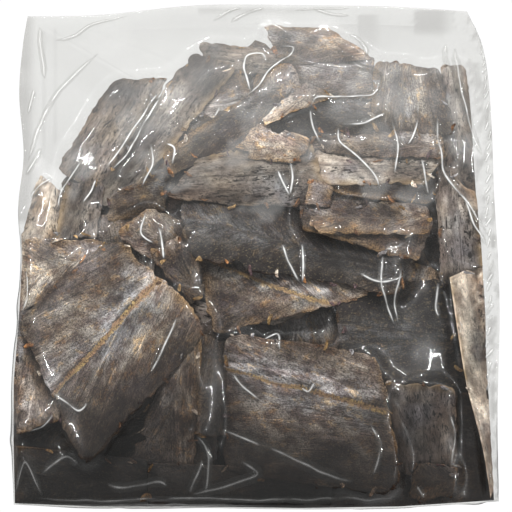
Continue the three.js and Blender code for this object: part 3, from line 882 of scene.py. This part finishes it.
def dried_skin():
    """The outer side: mottled skin with pits and dots."""
    sh, fibre, tint, _, rim, dark = fish_shader("dried_skin")
    mottle = sh.grain(fibre, (0.26, 0.36, 1), 4, 0.6)
    fine = sh.grain(fibre, (1.4, 1.6, 1), 3, 0.7)
    light = sh.step(weighted(sh, (mottle, 0.5), (fine, 0.5)), 0.38, 0.62)
    colour = sh.tinted(tint, sh.mix(light, (0.56, 0.54, 0.54, 1), (1.3, 1.3, 1.31, 1)))
    blotch = sh.step(sh.grain(fibre, (0.05, 0.14, 5), 4, 0.65), 0.4, 0.6)
    colour = sh.tinted(colour, sh.mix(blotch, (0.66, 0.62, 0.62, 1), (1.22, 1.24, 1.27, 1)))
    crowd = sh.step(sh.grain(fibre, (0.035, 0.09, 3), 2, 0.5), 0.38, 0.5)
    pit = sh.rest(sh.step(sh.grain(fibre, (0.22, 0.6, 1), 2, 0.45, 0.4), 0.36, 0.395))
    dot = sh.rest(sh.step(sh.grain(fibre, (0.7, 1.1, 4), 2, 0.5), 0.36, 0.4))
    pit = sh.math("MULTIPLY", sh.math("MAXIMUM", pit, sh.math("MULTIPLY", dot, 0.8)), crowd)
    pit = sh.math("MAXIMUM", pit, cracks(sh, fibre))
    pale = sh.step(sh.node("ShaderNodeRGBToBW", {"Color": tint}), 0.42, 0.66)
    pit = sh.math("MULTIPLY", pit, sh.rest(sh.math("MULTIPLY", pale, 0.7)))
    colour = sh.cover(pit, 0.92, colour, rgb(26, 21, 20))
    edge = sh.mix(mottle, rgb(120, 92, 60), rgb(214, 188, 146))
    colour = darkened(sh, sh.cover(rim, 0.6, colour, edge), dark)
    bumps = (mottle, 0.4, 0.001), (fine, 0.4, 0.0005), (sh.rest(pit), 0.7, 0.0006)
    return finished(sh, colour, 0.42, *bumps)


def clear_film():
    """Film that is seen through, milky and grey in places, with a crisp shine and a soft one; its milky
    white also paints the highlight lines along the creases.
    """
    sh = Shader("clear_film")
    where = sh.node("ShaderNodeTexCoord", output=3)
    normal = sh.bump(sh.noise(where, 240.0, 3, 0.6), sh.factor("crinkle"), 0.003)
    clear = sh.mix(sh.factor("shade"), rgb(*FILM_CLEARNESS), rgb(*FILM_SHADE))
    through = sh.node("ShaderNodeBsdfTransparent", {"Color": clear})
    milk_and_highlight = sh.node("ShaderNodeBsdfDiffuse", {"Color": rgb(*FILM_MILK_AND_HIGHLIGHT)})
    body = sh.node("ShaderNodeMixShader", {0: sh.factor("haze_and_highlight"), 1: through, 2: milk_and_highlight})
    crisp, soft = (
        sh.node("ShaderNodeBsdfGlossy", {"Color": (1, 1, 1, 1), "Roughness": roughness, "Normal": normal})
        for roughness in FILM_ROUGHNESSES
    )
    gloss = sh.node("ShaderNodeMixShader", {0: 0.6, 1: crisp, 2: soft})
    facing = sh.node("ShaderNodeLayerWeight", {"Blend": 0.5, "Normal": normal}, 1)
    grazing = sh.math("MULTIPLY", sh.math("POWER", facing, 5.0), 1.7)
    share = sh.math("ADD", grazing, 0.055, clamp=True)
    return sh.finish(sh.node("ShaderNodeMixShader", {0: share, 1: body, 2: gloss}))


# ---- The film ----
FILM_ACROSS = 264
FILM_ALONG = 272
FILM_SAG = 0.007
FILM_CLEARNESS = (244, 244, 243)
FILM_SHADE = (200, 199, 197)
FILM_MILK_AND_HIGHLIGHT = (225, 225, 223)
FILM_ROUGHNESSES = (0.06, 0.27)
FLOOR_CELL = 1.6
FLOOR_BLUR = 5
FILM_CLEARANCE = 0.8
# The film is relaxed on a coarse grid first: how much coarser, and how many passes.
FILM_LEVELS = ((4, 160), (2, 80), (1, 50))
# How the film answers: against bending, to the slack of an even sheet, the most slack, and how
# much of its speed it keeps from round to round, in the open and where it slides over the fish.
BENDING = 0.4
EVENNESS = 0.35
MOST_SLACK = 0.02
SPEED_KEPT = 0.9
SLIDING = 0.2
# Steps down and across from a point of the film to those that it is held apart from.
NEAR = ((0, 1), (1, 0), (1, 1), (1, -1))
FAR = ((0, 2), (2, 0))


def relaxed_heights(floor, passes, sag):
    """A skin under tension pressed on the floor, found by over-relaxation in a checkerboard."""
    z = floor.copy()
    odd = np.indices(z.shape).sum(0)[1:-1, 1:-1] % 2
    for _ in range(passes):
        for colour in (0, 1):
            inner = z[1:-1, 1:-1]
            around = (z[:-2, 1:-1] + z[2:, 1:-1] + z[1:-1, :-2] + z[1:-1, 2:]) / 4 - sag
            moved = np.maximum(floor[1:-1, 1:-1], inner + 1.7 * (around - inner))
            z[1:-1, 1:-1] = np.where(odd == colour, moved, inner)
    return z


def doubled(z):
    """The same heights on a grid with twice as many steps."""
    out = np.zeros((z.shape[0] * 2 - 1, z.shape[1] * 2 - 1))
    out[::2, ::2] = z
    out[1::2, ::2] = (z[:-1] + z[1:]) / 2
    out[:, 1::2] = (out[:, :-1:2] + out[:, 2::2]) / 2
    return out


def film_links(shape):
    """Pairs of film points to hold apart, in groups in which no point comes twice."""
    rows, columns = shape
    index = point_index(rows, columns)
    groups = []
    for down, across in (*NEAR, *FAR):
        first = index[: rows - down, max(0, -across): columns - max(0, across)]
        second = index[down:, max(0, across): columns + min(0, across)]
        j, i = np.indices(first.shape)
        turn = (i if down == 0 else j) // max(abs(across), down) % 2
        for part in (0, 1):
            groups.append((first[turn == part], second[turn == part], (down, across)))
    return groups


def film_lengths(points, groups):
    """Rest length of each link: its draped length, with slack where a flat even sheet would be longer."""
    flat = points.reshape(-1, 3)
    columns = points.shape[1]
    rows_long = np.linalg.norm(np.diff(points, axis=1), axis=-1).sum(1)
    columns_long = np.linalg.norm(np.diff(points, axis=0), axis=-1).sum(0)
    spare_across = np.quantile(rows_long, 0.8) / rows_long - 1
    spare_along = np.quantile(columns_long, 0.8) / columns_long - 1
    lengths = []
    for first, second, (down, across) in groups:
        length = np.linalg.norm(flat[second] - flat[first], axis=1)
        spare = spare_across[first // columns] if down == 0 else spare_along[first % columns]
        if down and across:
            spare = (spare + spare_across[first // columns]) / 2
        lengths.append(length * (1 + np.clip(EVENNESS * spare, 0, MOST_SLACK)))
    return lengths


def relax_film(points, edge, floor, rounds, press, wobble):
    """Lets the sheet find its folds: it keeps its lengths, is pressed down and rests on the heap."""
    groups = film_links(points.shape[:2])
    lengths = film_lengths(points, groups)
    place = points.reshape(-1, 3).copy()
    fixed = edge.ravel()
    free = ~fixed
    place[free, 2] += np.random.default_rng(7).normal(0, wobble, free.sum())
    speed = np.zeros_like(place)
    for _ in range(rounds):
        before = place.copy()
        place += speed * SPEED_KEPT
        place[free, 2] -= press
        for (first, second, step), length in zip(groups, lengths):
            apart = place[second] - place[first]
            now = np.linalg.norm(apart, axis=1) + 1e-9
            error, share = now - length, 0.5
            if step in FAR:
                error, share = np.minimum(error, 0), 0.5 * BENDING
            apart *= (error * share / now)[:, None]
            place[first] += apart
            place[second] -= apart
        place[fixed] = before[fixed]
        low = floor.at(place[:, 0], place[:, 1])
        under = (place[:, 2] < low) & free
        place[under, 2] = low[under]
        speed = place - before
        speed[under] *= SLIDING
    return place.reshape(points.shape)


def film_floor(surfaces):
    """The highest fish over each place, smoothed as a film that spans small hollows meets it."""
    floor = Grid(FLOOR_CELL)
    seat = underside_height(floor.x, floor.y) + FILM_CLEARANCE
    floor.z = seat.copy()
    for fish in surfaces:
        floor.stamp(fish["x"], fish["y"], fish["top"] + 0.3, np.maximum)
    floor.z = np.maximum(seat, blurred(spread(floor.z), FLOOR_BLUR))
    return floor


def film_front(floor):
    """The film's upper face as a grid of points."""
    heights, points = None, None
    for coarser, passes in FILM_LEVELS:
        across, lengthwise = FILM_ACROSS // coarser, FILM_ALONG // coarser
        u, v = np.meshgrid(np.linspace(0, 1, across + 1), np.linspace(0, 1, lengthwise + 1))
        plan = plan_point(u, v)
        x, y = plan[..., 0], plan[..., 1]
        seat = underside_height(x, y)
        edge = np.ones(x.shape, bool)
        edge[1:-1, 1:-1] = False
        low = np.where(edge, seat, np.maximum(seat + FILM_CLEARANCE, floor.at(x, y)))
        start = low if heights is None else np.maximum(low, doubled(heights))
        heights = relaxed_heights(start, passes, FILM_SAG * coarser ** 2 / 4)
        points = np.stack([x, y, heights], -1)
        if coarser > 1:
            points = relax_film(points, edge, floor, rounds=120, press=0.05, wobble=0.05)
            heights = points[..., 2]
    points = relax_film(points, edge, floor, rounds=40, press=0.03, wobble=0.0)
    points[..., 2] = np.maximum(blurred(points[..., 2], 4), seat)
    return points


def film_mesh(front):
    """The closed film: its relaxed upper face and its flat underside, joined at the seams."""
    rows, columns = front.shape[:2]
    u, v = np.meshgrid(np.linspace(0, 1, columns), np.linspace(0, 1, rows))
    outer, ring_u, ring_v = around(point_index(rows, columns)), around(u), around(v)
    points, quads = [front.reshape(-1, 3)], [grid_quads(rows, columns)]
    count = rows * columns
    fins = {**FINS, "right": along(RIGHT_FIN, BAG_LENGTH * (ring_v - 0.5))}
    for of_fin, of_rise in UNDERSIDE_RINGS:
        inset = {k: fins[k] * of_fin + UNDERSIDE_RISE * of_rise for k in fins}
        left, right = inset["left"] / BAG_WIDTH, 1 - inset["right"] / BAG_WIDTH
        foot, header = inset["foot"] / BAG_LENGTH, 1 - inset["header"] / BAG_LENGTH
        ring = plan_point(left + (right - left) * ring_u, foot + (header - foot) * ring_v)
        z = underside_height(ring[:, 0], ring[:, 1]) * (of_rise < 1)
        points.append(np.column_stack([ring, z]))
        inner = np.arange(len(ring)) + count
        count += len(ring)
        quads.append(np.stack([outer, inner, np.roll(inner, -1), np.roll(outer, -1)], -1))
        outer = inner
    return np.concatenate(points), np.concatenate(quads), [outer[::-1].tolist()]


# Creases of the film: points along each in plan, and then its height and half width.
FOLDS = [
    ([13, 31, 16, 24, 20, 16], 1.0, 2.2),
    ([19, 35, 21, 26, 20, 16], 0.9, 1.9),
    ([16, -14, 20, -24, 27, -35], 1.0, 2.2),
    ([27, -14, 28, -24, 28, -35], 0.9, 1.9),
    ([74, -20, 74, -38, 82, -57], 1.2, 2.4),
    ([87, -22, 82, -40, 84, -56], 1.1, 2.2),
    ([76, -16, 86, -13, 96, -5], 1.1, 2.4),
    ([-58, 50, -57, 38, -61, 24], 1.1, 2.4),
    ([-49, 50, -44, 46, -45, 36], 0.9, 2.0),
    ([-84, 36, -74, 50, -60, 69, -52, 80], 1.2, 2.4),
    ([-80, 36, -70, 47, -60, 64, -50, 78], 1.0, 2.0),
    ([-112, 12, -112, 24, -106, 34, -99, 44], 1.0, 2.2),
    ([-96, 14, -92, 22, -90, 30], 0.9, 2.0),
    ([-141, 35, -134, 43, -128, 51], 1.0, 2.0),
    ([-1, 76, -4, 88, -6, 96, -4, 104, 4, 106, 6, 98], 0.9, 2.0),
    ([-6, 74, 2, 80, 8, 92, 18, 104, 20, 112, 12, 113], 0.9, 2.0),
    ([44, 110, 52, 104, 58, 96, 68, 90, 71, 82, 66, 74, 48, 73, 35, 72, 30, 66], 1.1, 2.2),
    ([31, 66, 33, 56, 36, 46], 0.9, 1.9),
    ([49, 57, 62, 58, 76, 63], 1.2, 2.8),
    ([47, 56, 47, 48, 52, 42, 62, 34, 70, 26, 73, 20], 0.9, 2.2),
    ([75, 70, 79, 58, 82, 44, 80, 28], 1.0, 2.2),
    ([106, 60, 107, 46, 110, 30, 122, 14, 139, -4], 1.1, 2.6),
    ([118, 112, 120, 86, 127, 56, 136, 38], 1.0, 2.4),
    ([97, 36, 100, 24, 104, 16], 0.8, 2.0),
    ([-50, -2, -49, -12, -48, -22], 0.9, 2.0),
    ([-41, -54, -47, -70, -54, -84], 1.0, 2.2),
    ([-8, -84, -2, -92, 6, -98], 1.0, 2.2),
    ([6, -66, 14, -62, 16, -72], 1.0, 2.2),
    ([29, -92, 33, -94, 36, -89], 0.9, 1.9),
    ([-115, -94, -106, -99, -98, -104, -92, -100], 0.9, 2.0),
    ([-134, -114, -122, -113, -114, -106], 0.9, 2.0),
    ([-146, -146, -138, -134, -134, -131, -128, -138, -122, -147], 1.2, 2.6),
    ([-80, -142, -68, -143, -50, -140, -44, -142], 0.9, 2.0),
    ([-24, -130, -30, -146], 0.8, 2.0),
    ([-26, -118, -20, -128, -22, -146], 0.8, 2.0),
    ([99, -142, 103, -148], 0.9, 1.9),
    ([108, -34, 106, -46, 108, -52], 0.8, 1.9),
    ([-117, 121, -104, 126, -92, 138, -72, 145], 0.8, 1.5),
    ([-130, 134, -127, 110, -123, 92], 0.3, 2.0),
    ([-136, 70, -132, 78, -130, 84], 0.8, 1.4),
    ([-140, 44, -128, 62, -112, 84, -90, 110], 0.4, 1.6),
    ([-14, 134, -6, 144, 2, 150], 0.7, 1.5),
    ([-24, 136, -16, 146, -10, 150], 0.7, 1.4),
    ([30, 150, 40, 144, 52, 142], 0.7, 1.5),
    ([20, 148, 34, 150, 50, 150], 0.6, 1.3),
    ([-126, -149, -80, -150, -30, -149, 30, -150, 84, -149], 0.7, 1.3),
    ([-146, -152, -100, -153, -50, -153, 10, -154], 0.6, 1.2),
    ([-12, -115, 12, -124, 34, -133, 60, -140], 1.0, 2.4),
    ([-30, -147, -10, -142, 6, -136, -2, -131], 0.9, 2.4),
    ([-122, -136, -108, -129, -98, -132], 0.8, 2.6),
    ([-58, 6, -60, -6, -54, -12], 0.8, 1.8),
    ([52, 126, 60, 118, 63, 104], 0.5, 1.6),
    ([112, 116, 112, 100, 117, 84], 0.7, 1.6),
    ([96, 68, 93, 52, 88, 44], 0.7, 1.6),
    ([124, 14, 130, -2, 139, -12], 0.9, 1.8),
    ([60, -30, 74, -34, 88, -30], 0.7, 1.8),
    ([-140, -20, -138, -34, -141, -50], 0.8, 1.8),
    ([-134, 20, -128, 28, -120, 34], 0.8, 1.8),
    ([-36, 66, -24, 62, -18, 70], 0.7, 1.7),
    ([114, -106, 118, -118, 116, -132], 0.9, 1.8),
    ([70, -112, 76, -124, 72, -136], 0.7, 1.8),
]
FOLD_STEP = 1.2
FOLD_STEEPNESS = 1.2
FOLD_WANDER = 1.2
# Painted highlight along each crease: how white it is along the bag, by y, and half the width of its white
# line.
CREASE_HIGHLIGHT = [(-150, 0.2), (-125, 0.28), (-100, 0.7), (0, 0.85), (100, 0.95), (120, 0.6)]
CREASE_HIGHLIGHT_WIDTH = 0.42


def fin_creases():
    """Short creases across the flat fin on the right, one every 6 mm."""
    ends = [[139 + k % 3, 6 * k - 92, 142 + k % 4, 6 * k - 87 + k % 2] for k in range(38)]
    return [(points, 0.8, 1.1) for points in ends]


def film_at(front, u, v):
    """A point of the relaxed film by its place in the flat sheet."""
    rows, columns = front.shape[0] - 1, front.shape[1] - 1
    cx, cy = np.clip(u, 0, 0.9999) * columns, np.clip(v, 0, 0.9999) * rows
    i, j = cx.astype(int), cy.astype(int)
    fx, fy = (cx - i)[..., None], (cy - j)[..., None]
    low = front[j, i] * (1 - fx) + front[j, i + 1] * fx
    high = front[j + 1, i] * (1 - fx) + front[j + 1, i + 1] * fx
    return low * (1 - fy) + high * fy


def fold_strip(front, points, height, half_width, seed):
    """A narrow creased strip of film that lies on the film along a curve, with a painted highlight line
    along its crest.
    """
    line = np.array(points, float).reshape(-1, 2)
    length = np.linalg.norm(np.diff(line, axis=0), axis=1).sum()
    count = max(6, round(length / FOLD_STEP))
    path = spline(line, np.linspace(0, 1, count))
    wander = [noise(path[:, 0], path[:, 1], 9, seed + axis) - 0.5 for axis in (0, 1)]
    path = path + FOLD_WANDER * np.stack(wander, -1)
    ahead = np.gradient(path, axis=0)
    ahead /= np.linalg.norm(ahead, axis=1, keepdims=True)
    sideways = np.stack([-ahead[:, 1], ahead[:, 0]], -1)
    offsets = np.linspace(-1.25, 1.25, 13)
    part = np.linspace(0, 1, count)[:, None]
    taper = smooth(part / 0.2) * smooth((1 - part) / 0.2)
    strength = taper * (0.8 + 0.4 * noise(path[:, :1], path[:, 1:], 12, seed + 2))
    width = half_width * (0.25 + 0.75 * taper)
    plan = path[:, None] + sideways[:, None] * (offsets * width)[..., None]
    x, y = plan[..., 0], plan[..., 1]
    left, right = seam_x("left", y), seam_x("right", y)
    foot, header = along(SIDES["foot"], x), along(SIDES["header"], x)
    strip = film_at(front, (x - left) / (right - left), (y - foot) / (header - foot))
    strip[..., 2] += 0.1 + FOLD_STEEPNESS * height * strength * np.exp(-2 * offsets ** 2)
    # Painted highlight: a milky white line along the crest of the crease, standing in for its glint.
    flicker = 0.55 + 0.9 * noise(path[:, :1], path[:, 1:], 3, seed + 6)
    unbroken = smooth((noise(path[:, :1], path[:, 1:], 14, seed + 4) - 0.05) / 0.35)
    milk_and_highlight = strength * flicker * along(CREASE_HIGHLIGHT, path[:, 1:]) * unbroken
    line = milk_and_highlight * np.exp(-(offsets * width / CREASE_HIGHLIGHT_WIDTH) ** 2)
    return strip.reshape(-1, 3), grid_quads(count, len(offsets)), {"line": line.ravel()}


def folds_mesh(front):
    """Points, quads and painted highlight lines of all the creases."""
    folds = FOLDS + fin_creases()
    return joined([fold_strip(front, *fold, 500 + 7 * k) for k, fold in enumerate(folds)])


def sharpen_seam(mesh, shape):
    """Keeps the shading of the film's two faces apart where they meet."""
    index = point_index(*shape)
    on_seam = np.zeros(len(mesh.vertices), bool)
    for edge in (index[0], index[-1], index[:, 0], index[:, -1]):
        on_seam[edge] = True
    ends = np.empty(2 * len(mesh.edges), np.int32)
    mesh.edges.foreach_get("vertices", ends)
    layer = mesh.attributes.get("sharp_edge") or mesh.attributes.new("sharp_edge", "BOOLEAN", "EDGE")
    layer.data.foreach_set("value", on_seam[ends.reshape(-1, 2)].all(1))


def film_haze(points):
    """How milky the film is: more where it hangs free near the header, and in soft veils."""
    x, y = points[:, 0], points[:, 1]
    free = smooth((y - 20) / 110)
    streaks = layered(x, y, 34, 301)
    milky = patches(0.8 * x + 0.4 * y, y - 0.5 * x, 20, 303, 0.5, 0.22)
    veil = 0.16 * smooth((y + 20) / 70) * milky
    haze_and_highlight = 0.01 + 0.12 * free + 0.14 * free * (streaks - 0.45) + veil * (1 - 0.6 * free)
    return np.clip(haze_and_highlight, 0.004, 0.3)


# Where the empty film is folded double and darker: left, right, low, high and strength.
DOUBLED = [
    (-152, -136, 20, 160, 0.5), (-133, -130, 60, 140, 0.22), (-126, -123, 70, 142, 0.18),
    (63, 79, 128, 150, 0.3), (98, 125, 138, 153, 0.42), (-36, 54, 150.5, 154, 0.3),
]


def film_shade(points):
    """How grey the film is: in its doubled folds, and in streaks over the flat fin."""
    x, y = points[:, 0], points[:, 1]
    shade = 0.1 * smooth((y - 60) / 60) * layered(x, y, 40, 311)
    for left, right, low, high, strength in DOUBLED:
        inside = smooth((x - left) / 2 + 0.5) * smooth((right - x) / (0.6 * (right - left)) + 0.2)
        inside = inside * smooth((y - low) / 6 + 0.5) * smooth((high - y) / 2 + 0.5)
        shade = np.maximum(shade, strength * inside)
    streaks = patches(0.6 * x + 0.3 * y, 0.5 * y - x, 4, 317, 0.4, 0.3)
    return np.clip(np.maximum(shade, 0.45 * fin_share(x, y) * streaks), 0, 1)


def fin_share(x, y):
    """1 on the flat fin on the right and 0 elsewhere."""
    return smooth((x - seam_x("right", y) + along(RIGHT_FIN, y) + 1) / 3)


def film_crinkle(points):
    """How crinkled the film is: most in the flat fin on the right."""
    return 0.012 + 0.24 * fin_share(points[:, 0], points[:, 1])


# ---- Building ----
def laid_fish():
    """The surfaces of all the fish, from the lowest to the highest."""
    heap = Heap()
    bed = heap.lay_bed()
    shown = {name: Fish(corners, LEANS.get(name, 0)) for name, (corners, _) in FISH.items()}
    bends = {name: heap.lay(fish) for name, fish in shown.items()}

    surfaces = []
    for k, corners in enumerate(LOW_FISH):
        bend = np.array([LOW_HEIGHT, 0, 0, 0, 0, 0])
        surfaces.append(fish_surface("bed", Fish(corners), bend, LOW_LOOK, None, BED_SPACING, 880 + 7 * k))
    for k, (fish, bend) in enumerate(bed):
        look, backbone = BED_LOOKS[k % len(BED_LOOKS)]
        surfaces.append(fish_surface("bed", fish, bend, look, backbone, BED_SPACING, 900 + 13 * k))
    for k, (name, fish) in enumerate(shown.items()):
        look, backbone = FISH[name][1], SPINES.get(name)
        surfaces.append(fish_surface(name, fish, bends[name], look, backbone, FISH_SPACING, 40 + 17 * k))
    settle(surfaces)
    return surfaces


def put_in_bag(piece, material):
    """Gives a piece its material and lets it ride and stand in for the solid bag."""
    piece.data.materials.append(material)
    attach(piece, "root")
    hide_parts("bag")


surfaces = laid_fish()
torn = scraps(surfaces)
materials = {"flesh": dried_flesh(), "skin": dried_skin(), "film": clear_film()}

for kind in ("flesh", "skin"):
    bed = [fish_points(fish) for fish in surfaces if fish["name"] == "bed" and fish["kind"] == kind]
    put_in_bag(mesh_from("fish_bed_" + kind, *joined(bed)), materials[kind])
for fish in surfaces:
    if fish["name"] != "bed":
        put_in_bag(mesh_from("fish_" + fish["name"], *fish_points(fish)), materials[fish["kind"]])
flakes = joined([fish_points(flake) for flake in torn])
put_in_bag(mesh_from("fish_scraps", *flakes), materials["flesh"])

front = film_front(film_floor(surfaces + torn))
points, quads, base = film_mesh(front)
values = {"haze_and_highlight": film_haze(points), "crinkle": film_crinkle(points), "shade": film_shade(points)}
film = mesh_from("film", points - MIDDLE, quads, values, base)
sharpen_seam(film.data, front.shape[:2])

points, quads, crease_highlights = folds_mesh(front)
# The crease strips carry the film's haze and their painted highlight lines.
haze_and_highlight = np.maximum(0.2 * film_haze(points), crease_highlights["line"])
values = {"haze_and_highlight": haze_and_highlight, "crinkle": film_crinkle(points), "shade": 0 * haze_and_highlight}
folds = mesh_from("film_folds", points - MIDDLE, quads, values)
for piece in (film, folds):
    put_in_bag(piece, materials["film"])


# ---- Floor, light and camera ----
FLOOR_GAP = 0.4
FLOOR_REACH = 3000.0
GLINT_LIGHTS = 11
CAMERA_ELEVATION = 86
CAMERA_DISTANCE = 2.6
FRAME_WIDTH = 0.3158
LOOKED_AT = (0, -0.0007, 0.012)
SENSOR_WIDTH = 36


def make_floor():
    """A plain white backdrop that glows a little, like a light table, so that it shows no shadow."""
    corners = np.array([(-1, -1), (1, -1), (1, 1), (-1, 1)]) * FLOOR_REACH
    points = np.array([(x, y, -FLOOR_GAP) for x, y in corners])
    floor = mesh_from("floor", points, np.array([[0, 1, 2, 3]]), {})
    sh = Shader("white_floor")
    glow = sh.node("ShaderNodeEmission", {"Color": (1, 1, 1, 1), "Strength": 1.02})
    floor.data.materials.append(sh.finish(glow))
    floor.visible_glossy = False


def turn_towards(thing, direction):
    """Lets a light or camera look along a direction."""
    thing.rotation_euler = Vector(direction).to_track_quat("-Z", "Y").to_euler()


def area_light(name, azimuth, elevation, distance, size, power, mirrored=True, lights_fish=True):
    """A soft light on a dome round the bag; azimuth 0 is over the foot end and 90 over the right side."""
    lamp = bpy.data.lights.new(name, "AREA")
    lamp.shape = "RECTANGLE"
    lamp.size, lamp.size_y = size
    lamp.energy = power
    light = bpy.data.objects.new(name, lamp)
    bpy.context.scene.collection.objects.link(light)
    a, e = math.radians(azimuth), math.radians(elevation)
    away = np.array([math.sin(a) * math.cos(e), -math.cos(a) * math.cos(e), math.sin(e)])
    light.location = away * distance
    turn_towards(light, -away)
    light.visible_glossy = mirrored
    light.visible_diffuse = lights_fish


def make_camera():
    """A long lens that looks down on the bag, a little from its foot end."""
    data = bpy.data.cameras.new("camera")
    data.sensor_width = SENSOR_WIDTH
    data.lens = SENSOR_WIDTH * CAMERA_DISTANCE / FRAME_WIDTH
    data.clip_start, data.clip_end = 0.05, 20
    camera = bpy.data.objects.new("camera", data)
    bpy.context.scene.collection.objects.link(camera)
    elevation = math.radians(CAMERA_ELEVATION)
    back = Vector((0, -math.cos(elevation), math.sin(elevation)))
    camera.location = Vector(LOOKED_AT) + back * CAMERA_DISTANCE
    turn_towards(camera, -back)
    bpy.context.scene.camera = camera


def make_room():
    """Faint even light from all around."""
    world = bpy.data.worlds.new("room")
    world.use_nodes = True
    background = world.node_tree.nodes["Background"]
    background.inputs["Color"].default_value = (1, 1, 1, 1)
    background.inputs["Strength"].default_value = 0.24
    bpy.context.scene.world = world


make_floor()
for k in range(GLINT_LIGHTS):
    azimuth = 60 + 240 * k / GLINT_LIGHTS
    area_light("glint_%d" % k, azimuth, 33, 1.2, (0.17, 0.02), 0.8, lights_fish=False)
area_light("key", 200, 48, 1.6, (0.8, 0.5), 38, mirrored=False)
area_light("side", 60, 35, 1.8, (0.8, 0.5), 12, mirrored=False)
make_camera()
make_room()
bpy.context.scene.view_settings.view_transform = "Standard"
